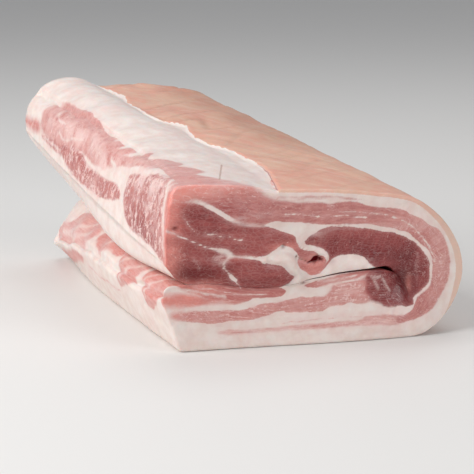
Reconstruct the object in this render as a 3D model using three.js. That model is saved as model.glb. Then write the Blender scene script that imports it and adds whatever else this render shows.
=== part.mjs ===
// A pork belly slab: boneless half belly with its skin on, folded once so that the skin is outside.
// Millimetres, +Z up. X runs along the front cut, from the free edges on the left to the fold on the
// right, and Y runs from the front cut to the far cut. The origin is the centre of the base.
import * as THREE from "three";
import { mergeVertices } from "three/addons/utils/BufferGeometryUtils.js";

const SLAB_DEPTH = 300; // front cut to far cut, at the free edges
const FAR_CUT_SLANT = 0.3; // how far the far cut comes forward for each millimetre towards the fold
const FAR_CUT_TURN = 15; // X where the far cut starts to slant
const FRONT_BELLY = 5; // how far the foot of the front cut swells forward
const FOLD_SET_BACK = 6; // how far the front cut runs back at the fold
const SLIT_HALF = 0.6; // half of the gap between the two flaps
const FOLD_POCKET = 1.3; // half of the gap where the slit bends down inside the fold

// Measures of the cross-section at four depths: front cut, one third, two thirds, far cut.
// The names end in X or Z for the direction they are measured in.
const SECTION = {
  capCornerX: [-4, -6, -16, -29], // upper left corner of the upper flap
  capCornerZ: [101.5, 106, 114, 119.5],
  capCrown: [2, 4, 7, 9.5], // rise of the trimmed strip between that corner and the skin
  skinEdgeX: [62, 51, 29, 18], // where the skin starts
  skinEdgeZ: [95.5, 107, 119.5, 128],
  shoulderX: [146.5, 130, 112, 89], // where the top turns down into the fold
  shoulderZ: [87.5, 98, 109, 122],
  foldX: [185, 164.5, 146, 126], // furthest point of the fold
  foldZ: [40, 45, 50, 56],
  toeX: [146, 130, 114, 96], // where the fold meets the board
  heelX: [0, -4.5, -7, -4], // lower left corner
  heelZ: [0, 0, 0, 3],
  lipX: [-8.5, -18, -26, -33], // lower left corner of the upper flap
  lipZ: [52, 66, 80, 95],
  lipSag: [1.5, 11, 7, 5], // swelling of the underside between the lip and the crease
  creaseX: [5, 8, 12.5, 14], // where the flaps part company on the left
  creaseZ: [41.5, 43, 45, 49],
  slitEndX: [147, 128, 110, 90], // blind end of the slit inside the fold
  slitEndZ: [24, 27, 31, 35],
  shelfX: [-11, -16, -17.5, -16.5], // upper left corner of the lower flap
  shelfZ: [33, 30, 27, 13.5],
  shelfSoft: [0.1, 0.15, 0.2, 0.35], // 0 is a sharp shoulder on the shelf, 0.5 a straight slope
};

// Shares of the path round the fold where one stretch of it ends and the next begins.
const PATH = {
  lip: 3 / 52, // inside only: end of the underside, where the slit starts
  skinEdge: 8 / 52,
  shoulder: 18 / 52, // inside, the slit bends down here
  fold: 26 / 52,
  toe: 34 / 52, // inside, this is the slit's blind end
  bend: 38 / 52, // inside only: back at the bend, on the slit's lower side
  shelf: 48 / 52, // inside only: end of the slit, where the shelf starts
};
const STEPS = { path: 52, depth: 16, thickness: 4 };

const SLIT_LEVEL = 0.65; // share of the slit that lies level
const SLIT_BEND = 17; // length along X of the bent end of the slit
const CUT_SWELL = 2; // swelling of the long cut side of the upper flap
const CREASE_DIP = 5.5; // the slit sags this much near the middle of the front cut
const CREASE_RISE = 2.6; // and rises this much towards the fold

// Swellings of the cut muscles on the front cut: centre, half widths and height, mm.
const FRONT_SWELLS = [
  { x: 30, z: 78, halfX: 32, halfZ: 16, rise: 3 },
  { x: 54, z: 48, halfX: 20, halfZ: 12, rise: 4 },
  { x: 116, z: 60, halfX: 34, halfZ: 14, rise: -3 },
  { x: 141, z: 34, halfX: 12, halfZ: 13, rise: -5 },
];
const FRONT_SWELL_DEPTH = 0.12; // share of the depth over which they die away

// Ends of the rib muscles on the shelf of the lower flap.
const RIBS = { pitch: 46, slant: 0.9, rise: 2.2, offset: 8 };

// Slanting folds of the skin, which start at a share of the depth and grow towards the far cut.
const WRINKLES = { pitch: 56, slant: 0.9, rise: 1.5, from: 0.3 };

const lerp = THREE.MathUtils.lerp;
const smoothstep = THREE.MathUtils.smoothstep;

/** Smooth value of one row of measures at a depth from 0 to 1. */
function measure(row, depth) {
  const spans = row.length - 1;
  const span = Math.min(Math.floor(depth * spans), spans - 1);
  const t = depth * spans - span;
  const from = row[span];
  const to = row[span + 1];
  const before = span > 0 ? row[span - 1] : 2 * from - to;
  const after = span < spans - 1 ? row[span + 2] : 2 * to - from;
  const slopeFrom = (to - before) / 2;
  const slopeTo = (after - from) / 2;
  const cube = 2 * (from - to) + slopeFrom + slopeTo;
  const square = 3 * (to - from) - 2 * slopeFrom - slopeTo;
  return ((cube * t + square) * t + slopeFrom) * t + from;
}

/** All the measures of the cross-section at one depth. */
function measuresAt(depth) {
  return Object.fromEntries(Object.entries(SECTION).map(([name, row]) => [name, measure(row, depth)]));
}

/** Point on a Bezier curve through three or four [x, z] pairs. */
function bezier(points, t) {
  const pairs = points.map(([x, z]) => new THREE.Vector2(x, z));
  const Curve = pairs.length === 3 ? THREE.QuadraticBezierCurve : THREE.CubicBezierCurve;
  return new Curve(...pairs).getPoint(t);
}

/** Where a path share lies within one stretch of the path. */
function within(share, start, end) {
  return (share - start) / (end - start);
}

/** Outside of the section: trimmed strip, skin on top, round the fold and back along the board. */
function outerPoint(share, m) {
  const cap = [m.capCornerX, m.capCornerZ];
  const edge = [m.skinEdgeX, m.skinEdgeZ];
  const shoulder = [m.shoulderX, m.shoulderZ];
  const fold = [m.foldX, m.foldZ];
  const reach = m.foldX - m.shoulderX;
  if (share < PATH.skinEdge) {
    const crown = [(cap[0] + edge[0]) / 2, (cap[1] + edge[1]) / 2 + 2 * m.capCrown];
    return bezier([cap, crown, edge], within(share, 0, PATH.skinEdge));
  }
  if (share < PATH.shoulder) {
    const run = 0.35 * (m.shoulderX - m.skinEdgeX);
    const drop = m.skinEdgeZ - m.shoulderZ;
    const first = [m.skinEdgeX + run, m.skinEdgeZ - 0.1 * drop];
    const second = [m.shoulderX - run, m.shoulderZ + 0.35 * drop + 3];
    return bezier([edge, first, second, shoulder], within(share, PATH.skinEdge, PATH.shoulder));
  }
  if (share < PATH.fold) {
    const first = [m.shoulderX + 0.42 * reach, m.shoulderZ - 0.09 * reach];
    const second = [m.foldX, lerp(m.foldZ, m.shoulderZ, 0.42)];
    return bezier([shoulder, first, second, fold], within(share, PATH.shoulder, PATH.fold));
  }
  if (share < PATH.toe) {
    const second = [lerp(m.toeX, m.foldX, 0.5), 0];
    return bezier([fold, [m.foldX, 0.45 * m.foldZ], second, [m.toeX, 0]], within(share, PATH.fold, PATH.toe));
  }
  const along = within(share, PATH.toe, 1);
  return new THREE.Vector2(lerp(m.toeX, m.heelX, along), m.heelZ * smoothstep(along, 0.75, 1));
}

/** Height of the level part of the slit, at a share of its length from the crease. */
function slitHeight(share, m, depth) {
  const front = 1 - THREE.MathUtils.clamp(2.2 * depth, 0, 1);
  const dip = CREASE_DIP * Math.exp(-(((share - 0.42) / 0.25) ** 2)) * (1 - Math.exp(-((share / 0.12) ** 2)));
  const rear = (m.slitEndZ + 20 - m.creaseZ) * share;
  return m.creaseZ + front * (CREASE_RISE * share - dip) + (1 - front) * rear;
}

/** Centre line of the slit, from the crease at 0 to its blind end at 1, with the level part first. */
function slitCentre(share, m, depth) {
  const bendX = m.slitEndX - SLIT_BEND;
  if (share <= SLIT_LEVEL) {
    const t = share / SLIT_LEVEL;
    return new THREE.Vector2(lerp(m.creaseX, bendX, t), slitHeight(t, m, depth));
  }
  const start = [bendX, slitHeight(1, m, depth)];
  const over = [bendX + 9, start[1] + 0.6];
  const down = [m.slitEndX - 1, m.slitEndZ + 14];
  return bezier([start, over, down, [m.slitEndX, m.slitEndZ]], within(share, SLIT_LEVEL, 1));
}

/** One side of the slit: the centre line moved square to itself by half of the gap. */
function slitSide(share, side, m, depth) {
  const step = 0.01;
  const here = slitCentre(share, m, depth);
  const ahead = slitCentre(Math.min(share + step, 1), m, depth);
  const behind = slitCentre(Math.max(share - step, 0), m, depth);
  const across = ahead.sub(behind).normalize();
  const pocket = Math.exp(-(((share - 0.8) / 0.1) ** 2));
  const gap = lerp(SLIT_HALF, FOLD_POCKET, pocket) * (1 - smoothstep(share, 0.96, 1));
  return new THREE.Vector2(here.x - side * gap * across.y, here.y + side * gap * across.x);
}

/** Inside of the section: underside of the upper flap, both sides of the slit, top of the shelf. */
function innerPoint(share, m, depth) {
  if (share < PATH.lip) {
    const crease = slitSide(0, 1, m, depth);
    const line = new THREE.Vector2(crease.x - m.lipX, crease.y - m.lipZ).normalize();
    const middle = [(m.lipX + crease.x) / 2, (m.lipZ + crease.y) / 2];
    const swell = [middle[0] + 2 * m.lipSag * line.y, middle[1] - 2 * m.lipSag * line.x];
    return bezier([[m.lipX, m.lipZ], swell, [crease.x, crease.y]], within(share, 0, PATH.lip));
  }
  if (share < PATH.shoulder) {
    return slitSide(lerp(0, SLIT_LEVEL, within(share, PATH.lip, PATH.shoulder)), 1, m, depth);
  }
  if (share < PATH.toe) {
    return slitSide(lerp(SLIT_LEVEL, 1, within(share, PATH.shoulder, PATH.toe)), 1, m, depth);
  }
  if (share < PATH.bend) {
    return slitSide(lerp(1, SLIT_LEVEL, within(share, PATH.toe, PATH.bend)), -1, m, depth);
  }
  if (share < PATH.shelf) {
    return slitSide(lerp(SLIT_LEVEL, 0, within(share, PATH.bend, PATH.shelf)), -1, m, depth);
  }
  const crease = slitSide(0, -1, m, depth);
  const turn = [lerp(m.shelfX, crease.x, m.shelfSoft), lerp(crease.y, m.shelfZ, m.shelfSoft)];
  return bezier([[crease.x, crease.y], turn, [m.shelfX, m.shelfZ]], within(share, PATH.shelf, 1));
}

/** How far the muscles stand out of the front cut at one place on it. */
function frontSwell(x, z) {
  const bump = ({ x: cx, z: cz, halfX, halfZ, rise }) =>
    rise * Math.exp(-(((x - cx) / halfX) ** 2) - ((z - cz) / halfZ) ** 2);
  return FRONT_SWELLS.reduce((sum, swell) => sum + bump(swell), 0);
}

/** Y of a point of the section at a depth from 0, the front cut, to 1, the far cut. */
function alongDepth(x, z, depth) {
  const far = SLAB_DEPTH - FAR_CUT_SLANT * Math.min(Math.max(x - FAR_CUT_TURN, 0), 70);
  const belly = FRONT_BELLY * Math.exp(-(((x - 115) / 60) ** 2)) * Math.exp(-z / 35);
  const setBack = FOLD_SET_BACK * smoothstep(x, 145, 185) ** 2;
  const swell = frontSwell(x, z) * (1 - smoothstep(depth, 0, FRONT_SWELL_DEPTH));
  return far * depth + (setBack - belly) * (1 - depth) - swell;
}

/** Rise of the skin's folds and of the rib ends on the shelf, along Z. */
function relief(share, thickness, depth, x, y) {
  const onTop = smoothstep(share, PATH.skinEdge, PATH.skinEdge + 0.08);
  const top = onTop * (1 - smoothstep(share, PATH.shoulder - 0.04, PATH.fold));
  const wave = Math.sin((2 * Math.PI * (y - WRINKLES.slant * x)) / WRINKLES.pitch);
  const wrinkle = WRINKLES.rise * wave * top * smoothstep(depth, WRINKLES.from, 0.8);
  const rib = Math.cos((2 * Math.PI * (y - RIBS.offset - RIBS.slant * x)) / RIBS.pitch);
  const shelf = RIBS.rise * rib * smoothstep(share, PATH.shelf + 0.015, PATH.shelf + 0.04);
  return wrinkle * (1 - thickness) ** 2 + shelf * thickness ** 2;
}

/** Point of the slab at a share of the path, a share of the thickness in from the skin, and a depth. */
function slabPoint(share, thickness, depth) {
  const m = measuresAt(depth);
  const outside = outerPoint(share, m);
  const point = outside.lerp(innerPoint(share, m, depth), thickness);
  const round = Math.sin(Math.PI * thickness);
  const x = point.x - CUT_SWELL * round * (1 - smoothstep(share, 0, 0.08));
  const y = alongDepth(x, point.y, depth);
  return new THREE.Vector3(x, y, point.y + relief(share, thickness, depth, x, y));
}

/** Closed skin of the slab: a unit box's grid, each point carried to its place round the fold. */
function slabGeometry() {
  const box = new THREE.BoxGeometry(1, 1, 1, STEPS.path, STEPS.depth, STEPS.thickness);
  box.deleteAttribute("normal");
  box.deleteAttribute("uv");
  const geometry = mergeVertices(box);
  const position = geometry.getAttribute("position");
  for (let i = 0; i < position.count; i += 1) {
    const point = slabPoint(position.getX(i) + 0.5, 0.5 - position.getZ(i), position.getY(i) + 0.5);
    position.setXYZ(i, point.x, point.y, point.z);
  }
  return standOnOrigin(geometry);
}

/** Moves a geometry so that the centre of its base is the origin. */
function standOnOrigin(geometry) {
  geometry.computeBoundingBox();
  const centre = geometry.boundingBox.getCenter(new THREE.Vector3());
  geometry.translate(-centre.x, -centre.y, -geometry.boundingBox.min.z);
  geometry.computeVertexNormals();
  return geometry;
}

const meat = new THREE.MeshStandardMaterial({ color: 0xd2a096, roughness: 0.45, metalness: 0 });

const slab = new THREE.Group();
const porkBelly = new THREE.Mesh(slabGeometry(), meat);
porkBelly.name = "pork_belly";
slab.add(porkBelly);

export default slab;
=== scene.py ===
"""Looks of a folded slab of raw pork belly: one closed surface, worked out with numpy."""

import logging
import math
from dataclasses import dataclass, field, fields
from enum import Enum

import bpy
import numpy as np
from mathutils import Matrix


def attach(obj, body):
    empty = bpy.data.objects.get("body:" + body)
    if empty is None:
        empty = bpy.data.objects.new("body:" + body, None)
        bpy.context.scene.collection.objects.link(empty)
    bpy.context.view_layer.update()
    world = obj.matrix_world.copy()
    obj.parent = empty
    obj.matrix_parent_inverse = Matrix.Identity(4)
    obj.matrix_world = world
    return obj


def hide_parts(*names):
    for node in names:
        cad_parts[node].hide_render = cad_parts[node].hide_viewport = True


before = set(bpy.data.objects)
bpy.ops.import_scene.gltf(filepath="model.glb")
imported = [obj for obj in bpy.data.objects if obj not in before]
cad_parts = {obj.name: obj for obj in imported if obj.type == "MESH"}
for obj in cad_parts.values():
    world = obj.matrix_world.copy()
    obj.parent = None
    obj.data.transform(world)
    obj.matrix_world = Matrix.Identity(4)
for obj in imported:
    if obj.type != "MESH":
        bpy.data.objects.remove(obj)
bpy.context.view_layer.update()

log = logging.getLogger("pork_belly")

Array = np.ndarray
Row = tuple[float, float, float, float]
Point = tuple[float, float]
Range = tuple[float, float]
Ring = tuple[Point, ...]
Triple = tuple[float, float, float]
Colour = tuple[float, float, float, float]
Socket = bpy.types.NodeSocket
Measures = dict[str, Array]

MM = 0.001
BASE_CENTRE = (75.8, 147.5)  # mm, X and Y of the frame's origin in the slab's own measures
# Shares of the path round the fold, from the ridge of the upper flap to the foot of the lower one.
LIP, SKIN_EDGE, SHOULDER, FOLD, TOE, BEND, SHELF = (n / 48 for n in (3, 8, 18, 26, 34, 37.5, 44))
FAR_OFF = 12.0  # mm, where signed distances are cut off


def smoothstep(x: Array, low: float, high: float) -> Array:
    """0 below low, 1 above high, and an S curve between."""
    t = np.clip((x - low) / (high - low), 0.0, 1.0)
    return t * t * (3.0 - 2.0 * t)


def mix(a: Array, b: Array, t: Array) -> Array:
    """Straight line from a to b."""
    return a + (b - a) * t


def bell(x: Array, middle: float, half: float) -> Array:
    """1 at the middle, falling off like a bell with the given half width."""
    return np.exp(-(((x - middle) / half) ** 2))


def catmull_row(row: Row, depth: Array) -> Array:
    """Smooth curve through evenly spaced values: a cubic on each span, as steep as its neighbours' chord.

    Args:
        row: the values at depths 0, 1/3, 2/3 and 1.
        depth: where the curve is read, 0 to 1.

    Returns:
        The curve's value at each depth.
    """
    p = np.asarray(row, float)
    spans = len(p) - 1
    place = np.clip(depth, 0.0, 1.0) * spans
    i = np.minimum(place.astype(int), spans - 1)
    t = place - i
    start, end = p[i], p[i + 1]
    before = np.where(i > 0, p[np.maximum(i - 1, 0)], 2 * start - end)
    after = np.where(i < spans - 1, p[np.minimum(i + 2, spans)], 2 * end - start)
    a, b = (end - before) / 2, (after - start) / 2
    return ((2 * (start - end) + a + b) * t + 3 * (end - start) - 2 * a - b) * t * t + a * t + start


def bezier(points: tuple, t: Array) -> tuple[Array, Array]:
    """Bezier curve of three or four (x, z) points: their sum, weighted by the Bernstein shares of t."""
    q = 1.0 - t
    if len(points) == 3:
        weights = (q * q, 2 * q * t, t * t)
    else:
        weights = (q**3, 3 * q * q * t, 3 * q * t * t, t**3)
    return tuple(sum(w * p[axis] for w, p in zip(weights, points)) for axis in (0, 1))


def smooth_path(corners: Ring, closed: bool, steps: int = 4) -> Array:
    """Catmull-Rom curve through corners, with steps points to a span, as rows of (x, z)."""
    p = np.asarray(corners, float)
    if closed:
        before, after, beyond = np.roll(p, 1, 0), np.roll(p, -1, 0), np.roll(p, -2, 0)
    else:
        before = np.vstack((p[:1], p[:-2]))
        after, beyond = p[1:], np.vstack((p[2:], p[-1:]))
        p = p[:-1]
    t = (np.arange(steps) / steps)[None, :, None]
    b, p, a, e = before[:, None], p[:, None], after[:, None], beyond[:, None]
    square, cube = b - 2.5 * p + 2 * a - e / 2, 1.5 * (p - a) + (e - b) / 2
    curve = p + t * (a - b) / 2 + t * t * square + t**3 * cube
    curve = curve.reshape(-1, 2)
    return np.vstack((curve, curve[:1] if closed else np.asarray(corners[-1:], float)))


def path_distance(x: Array, z: Array, path: Array) -> Array:
    """Distance of each point from a path: the least of the distances to its straight pieces."""
    start, step = path[:-1], np.diff(path, axis=0)
    square = np.maximum((step**2).sum(1), 1e-9)
    dx, dz = x[:, None] - start[:, 0], z[:, None] - start[:, 1]
    along = np.clip((dx * step[:, 0] + dz * step[:, 1]) / square, 0, 1)
    return np.sqrt(((dx - along * step[:, 0]) ** 2 + (dz - along * step[:, 1]) ** 2).min(1))


def inside_ring(x: Array, z: Array, ring: Array) -> Array:
    """Whether a ray from each point towards +x crosses the closed ring an odd number of times."""
    a, b = ring[:-1], ring[1:]
    rise = np.where(b[:, 1] == a[:, 1], 1e-9, b[:, 1] - a[:, 1])
    straddle = (a[:, 1] > z[:, None]) != (b[:, 1] > z[:, None])
    crossing = a[:, 0] + (b[:, 0] - a[:, 0]) * (z[:, None] - a[:, 1]) / rise
    return (straddle & (x[:, None] < crossing)).sum(1) % 2 == 1


def near_field(x: Array, z: Array, path: Array, closed: bool) -> Array:
    """Signed distance from a ring, positive inside, or minus the distance from an open path.

    Args:
        x, z: flat arrays of points, mm.
        path: rows of (x, z), the first repeated at the end where it is closed.
        closed: whether the path is a ring.

    Returns:
        The distance of each point in mm, never below minus FAR_OFF.
    """
    out = np.full(x.shape, -FAR_OFF)
    low, high = path.min(0) - FAR_OFF, path.max(0) + FAR_OFF
    near = (x > low[0]) & (x < high[0]) & (z > low[1]) & (z < high[1])
    if near.any():
        px, pz = x[near].astype(np.float32), z[near].astype(np.float32)
        away = path_distance(px, pz, path.astype(np.float32))
        inside = inside_ring(px, pz, path) if closed else np.zeros(px.shape, bool)
        out[near] = np.where(inside, away, -np.minimum(away, FAR_OFF))
    return out


@dataclass(frozen=True)
class Grain:
    """Smooth random relief: a table of random heights, read between its knots with an S curve."""

    seed: int
    octaves: int = 3

    def at(self, x: Array, y: Array) -> Array:
        """Height from about -1 to 1 at each point, with one bump to a unit of x or y."""
        size = 64
        table = np.random.default_rng(self.seed).uniform(-1.0, 1.0, (size, size))
        total = np.zeros(np.broadcast(x, y).shape)
        for octave in range(self.octaves):
            u, w = x * 2.03**octave + 17.3 * octave, y * 2.03**octave + 5.1 * octave
            i, j = np.floor(u).astype(int), np.floor(w).astype(int)
            a, b = smoothstep(u - i, 0, 1), smoothstep(w - j, 0, 1)
            i, j, k, m = i % size, j % size, (i + 1) % size, (j + 1) % size
            low = mix(table[i, j], table[k, j], a)
            high = mix(table[i, m], table[k, m], a)
            total += mix(low, high, b) / 2**octave
        return total / 1.3


@dataclass(frozen=True)
class Bumps:
    """Random relief in mm: its rise, and how long its bumps are along its two measures."""

    seed: int
    rise: float
    long: float
    wide: float
    octaves: int = 3

    def at(self, x: Array, y: Array) -> Array:
        """Height at each point, mm."""
        return self.rise * Grain(self.seed, self.octaves).at(x / self.long, y / self.wide)


def ring_depth(x: Array, z: Array, ring: Ring) -> Array:
    """Distance inside a smooth ring through the given corners, mm, negative outside."""
    return near_field(x, z, smooth_path(ring, True), True)


def path_reach(x: Array, z: Array, path: Ring) -> Array:
    """Distance from a smooth open path through the given corners, mm, at most FAR_OFF."""
    return -near_field(x, z, smooth_path(path, False), False)


@dataclass(frozen=True)
class Section:
    """Measures of the cross-section at four depths, mm: front cut, one third, two thirds, far cut.

    Round the outside lie the upper flap's ridge (cap_corner), the skin's edge, the shoulder, the fold, the
    toe and the heel. Round the inside lie the lip, the crease, the slit's blind end and the shelf's edge.
    """

    cap_corner_x: Row = (-4, -6, -16, -29)
    cap_corner_z: Row = (101.5, 106, 114, 119.5)
    cap_crown: Row = (2, 4, 7, 9.5)
    skin_edge_x: Row = (62, 51, 29, 18)
    skin_edge_z: Row = (95.5, 107, 119.5, 128)
    shoulder_x: Row = (146.5, 130, 112, 89)
    shoulder_z: Row = (87.5, 98, 109, 122)
    fold_x: Row = (185, 164.5, 146, 126)
    fold_z: Row = (40, 45, 50, 56)
    toe_x: Row = (146, 130, 114, 96)
    heel_x: Row = (0, -4.5, -7, -4)
    heel_z: Row = (0, 0, 0, 3)
    lip_x: Row = (-8.5, -18, -26, -33)
    lip_z: Row = (52, 66, 80, 95)
    lip_sag: Row = (1.5, 11, 7, 5)
    crease_x: Row = (5, 8, 12.5, 14)
    crease_z: Row = (41.5, 43, 45, 49)
    slit_end_x: Row = (147, 128, 110, 90)
    slit_end_z: Row = (24, 27, 31, 35)
    shelf_x: Row = (-11, -16, -17.5, -16.5)
    shelf_z: Row = (33, 30, 27, 13.5)
    shelf_soft: Row = (0.1, 0.15, 0.2, 0.35)

    def at(self, depth: Array) -> Measures:
        """Every measure at the given depths, by name."""
        return {f.name: catmull_row(getattr(self, f.name), depth) for f in fields(self)}


def corner(m: Measures, name: str) -> tuple[Array, Array]:
    """X and Z of a named corner of the section, mm."""
    return m[name + "_x"], m[name + "_z"]


def from_corner(x: Array, z: Array, m: Measures, name: str) -> Array:
    """Distance of points from a named corner of the section, mm."""
    at_x, at_z = corner(m, name)
    return np.hypot(x - at_x, z - at_z)


@dataclass(frozen=True)
class Form:
    """The folded slab's form: a share of the path round the fold, a share of the thickness and a depth.

    Lengths are in mm. A handle is an inner point of a Bezier curve, as a share of its reach or in mm.
    """

    section: Section = field(default_factory=Section)
    depth_mm: float = 300.0
    far_slant: float = 0.3  # mm of depth lost per mm of X
    far_turn: Range = (15.0, 70.0)  # X where the slant starts, and how far it runs
    belly: float = 5.0  # how far the front cut bulges
    belly_span: Range = (115, 60)  # X of its middle and half width
    belly_height: float = 35.0
    fold_set_back: float = 6.0
    fold_turn: Range = (145, 185)  # X over which the front cut falls back at the fold
    top_handle: float = 0.35
    top_drops: Range = (0.1, 0.35)  # first handle under its end and second over its own, shares of the drop
    top_lift: float = 3.0
    over_handle: float = 0.42
    over_drop: float = 0.09
    under_handles: Range = (0.45, 0.5)  # share of the fold's height, and of the way from toe to fold
    heel_lift: Range = (0.75, 1.0)  # shares of the base over which the heel rises
    slit_half: float = 0.38  # half gap where the slit is open
    slit_least: float = 0.05  # half gap where the flaps touch
    slit_opens: Range = (0.34, 0.56)  # shares of the slit
    slit_closes: Range = (0.68, 0.8)
    slit_tip: Range = (0.96, 1.0)
    fold_pocket: float = 1.15
    pocket_span: Range = (0.69, 0.065)  # middle and half width, shares of the slit
    slit_level: float = 0.65  # share of the slit that lies level
    slit_bend: float = 17.0
    bend_handle: Point = (7, -1.2)
    end_handle: Point = (-2.5, 12)
    cut_swell: float = 2.0
    crease_dip: float = 5.5
    dip_span: Range = (0.42, 0.25)
    dip_start: float = 0.12
    dip_fade: float = 2.2  # how many times sooner than the far cut the dip has faded
    crease_rise: float = 2.6
    rear_rise: float = 20.0  # height of the level part over the slit's end, at the rear

    @staticmethod
    def pick(s: Array, ends: tuple[float, ...], runs: tuple) -> tuple[Array, Array]:
        """Takes each point from the stretch of the path that its share falls in."""
        which = [s < end for end in ends]
        axes = [[run[k] + 0 * s for run in runs] for k in (0, 1)]
        return tuple(np.select(which, axis[:-1], axis[-1]) for axis in axes)

    def outside(self, s: Array, m: Measures) -> tuple[Array, Array]:
        """Skin side of the section: Bezier curves over strip, top and fold, then a straight base."""
        names = ("cap_corner", "skin_edge", "shoulder", "fold")
        ridge, edge, shoulder, fold = (corner(m, name) for name in names)
        toe = (m["toe_x"], 0 * m["toe_x"])
        crown = ((ridge[0] + edge[0]) / 2, (ridge[1] + edge[1]) / 2 + 2 * m["cap_crown"])
        run, drop = self.top_handle * (shoulder[0] - edge[0]), edge[1] - shoulder[1]
        first, second = self.top_drops
        top = (
            (edge[0] + run, edge[1] - first * drop),
            (shoulder[0] - run, shoulder[1] + second * drop + self.top_lift),
        )
        reach = fold[0] - shoulder[0]
        over = (
            (shoulder[0] + self.over_handle * reach, shoulder[1] - self.over_drop * reach),
            (fold[0], mix(fold[1], shoulder[1], self.over_handle)),
        )
        low, inward = self.under_handles
        under = ((fold[0], low * fold[1]), (mix(toe[0], fold[0], inward), toe[1]))
        base = within(s, TOE, 1)
        runs = (
            bezier((ridge, crown, edge), within(s, 0, SKIN_EDGE)),
            bezier((edge, *top, shoulder), within(s, SKIN_EDGE, SHOULDER)),
            bezier((shoulder, *over, fold), within(s, SHOULDER, FOLD)),
            bezier((fold, *under, toe), within(s, FOLD, TOE)),
            (mix(toe[0], m["heel_x"], base), m["heel_z"] * smoothstep(base, *self.heel_lift)),
        )
        return self.pick(s, (SKIN_EDGE, SHOULDER, FOLD, TOE), runs)

    def slit_height(self, u: Array, m: Measures, depth: Array) -> Array:
        """Height of the level part of the slit: a line with a bell-shaped dip, which fades with depth."""
        front = 1 - np.clip(self.dip_fade * depth, 0, 1)
        dip = self.crease_dip * bell(u, *self.dip_span) * (1 - bell(u, 0, self.dip_start))
        rear = (m["slit_end_z"] + self.rear_rise - m["crease_z"]) * u
        return m["crease_z"] + front * (self.crease_rise * u - dip) + (1 - front) * rear

    def slit_centre(self, u: Array, m: Measures, depth: Array) -> tuple[Array, Array]:
        """Centre line of the slit: level from the crease, then a Bezier curve down into the fold."""
        level = self.slit_level
        bend = m["slit_end_x"] - self.slit_bend
        t = np.clip(u / level, 0, 1)
        flat = (mix(m["crease_x"], bend, t), self.slit_height(t, m, depth))
        height = self.slit_height(1.0 + 0 * bend, m, depth)
        end = corner(m, "slit_end")
        first = (bend + self.bend_handle[0], height + self.bend_handle[1])
        second = (end[0] + self.end_handle[0], end[1] + self.end_handle[1])
        down = bezier(((bend, height), first, second, end), np.clip((u - level) / (1 - level), 0, 1))
        return self.pick(u, (level,), (flat, down))

    def slit_share(self, s: Array) -> Array:
        """Share of the slit: 0 at the crease, 1 at the blind end over the toe, and back to 0."""
        return np.interp(s, (LIP, SHOULDER, TOE, BEND, SHELF), (0, self.slit_level, 1, self.slit_level, 0))

    def slit_side(self, u: Array, side: Array, m: Measures, depth: Array) -> tuple[Array, Array]:
        """One side of the slit: the centre line moved square to itself by half of the gap."""
        step = 0.01
        x, z = self.slit_centre(u, m, depth)
        x1, z1 = self.slit_centre(np.minimum(u + step, 1), m, depth)
        x0, z0 = self.slit_centre(np.maximum(u - step, 0), m, depth)
        length = np.hypot(x1 - x0, z1 - z0)
        open_run = smoothstep(u, *self.slit_opens) * (1 - smoothstep(u, *self.slit_closes))
        gap = mix(self.slit_half * open_run, self.fold_pocket, bell(u, *self.pocket_span)) + self.slit_least
        gap = gap * (1 - smoothstep(u, *self.slit_tip)) * side / length
        return x - gap * (z1 - z0), z + gap * (x1 - x0)

    def inside(self, s: Array, m: Measures, depth: Array) -> tuple[Array, Array]:
        """Flesh side of the section: underside of the upper flap, both sides of the slit, and the shelf."""
        lip, shelf = corner(m, "lip"), corner(m, "shelf")
        cx, cz = self.slit_side(0 * s, 1, m, depth)
        dx, dz = cx - lip[0], cz - lip[1]
        sag = 2 * m["lip_sag"] / np.hypot(dx, dz)
        swell = ((lip[0] + cx) / 2 + sag * dz, (lip[1] + cz) / 2 - sag * dx)
        lx, lz = self.slit_side(0 * s, -1, m, depth)
        turn = (mix(shelf[0], lx, m["shelf_soft"]), mix(lz, shelf[1], m["shelf_soft"]))
        runs = (
            bezier((lip, swell, (cx, cz)), within(s, 0, LIP)),
            self.slit_side(self.slit_share(s), np.where(s < TOE, 1, -1), m, depth),
            bezier(((lx, lz), turn, shelf), within(s, SHELF, 1)),
        )
        return self.pick(s, (LIP, SHELF), runs)

    def sides(self, s: Array, m: Measures, depth: Array) -> tuple[Array, Array, Array, Array, Array]:
        """X and Z of the skin side, then of the flesh side, and the thickness between them, mm."""
        outer, inner = self.outside(s, m), self.inside(s, m, depth)
        return *outer, *inner, np.hypot(outer[0] - inner[0], outer[1] - inner[1])

    def along(self, x: Array, z: Array, depth: Array) -> Array:
        """Y of a point of the section: the far cut slants, the front cut bulges and falls back."""
        turn, run = self.far_turn
        far = self.depth_mm - self.far_slant * np.clip(x - turn, 0, run)
        belly = self.belly * bell(x, *self.belly_span) * np.exp(-z / self.belly_height)
        back = self.fold_set_back * smoothstep(x, *self.fold_turn) ** 2
        return far * depth + (back - belly) * (1 - depth)


def within(share: Array, start: float, end: float) -> Array:
    """Where a path share lies within one stretch of the path, held to 0 and 1."""
    return np.clip((share - start) / (end - start), 0, 1)


def rounding(edge: Array, radius: float) -> Array:
    """How far a quarter-round edge falls back at a distance from it: its radius less a circle's height."""
    near = 1 - np.clip(edge / radius, 0, 1)
    return radius * (1 - np.sqrt(1 - near**2))


@dataclass(frozen=True)
class Muscle:
    """One muscle where a cut crosses it: its ring in mm, its finish and how far it swells out."""

    name: str
    tone: float  # 0 pale pink, 1 dark wine
    warm: float  # share of salmon
    marble: float  # share of white flecks
    rise: float  # mm
    ring: Ring
    across: float = 0.0  # share of fibres that lie across the layer


@dataclass(frozen=True)
class Lobe:
    """A lump of fat that stands out of a cut: its rise and its ring, mm."""

    name: str
    rise: float
    ring: Ring


@dataclass(frozen=True)
class Streak:
    """A line through the tissue, such as a sinew through the lean, with its half width in mm."""

    half: float
    path: Ring


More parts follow.
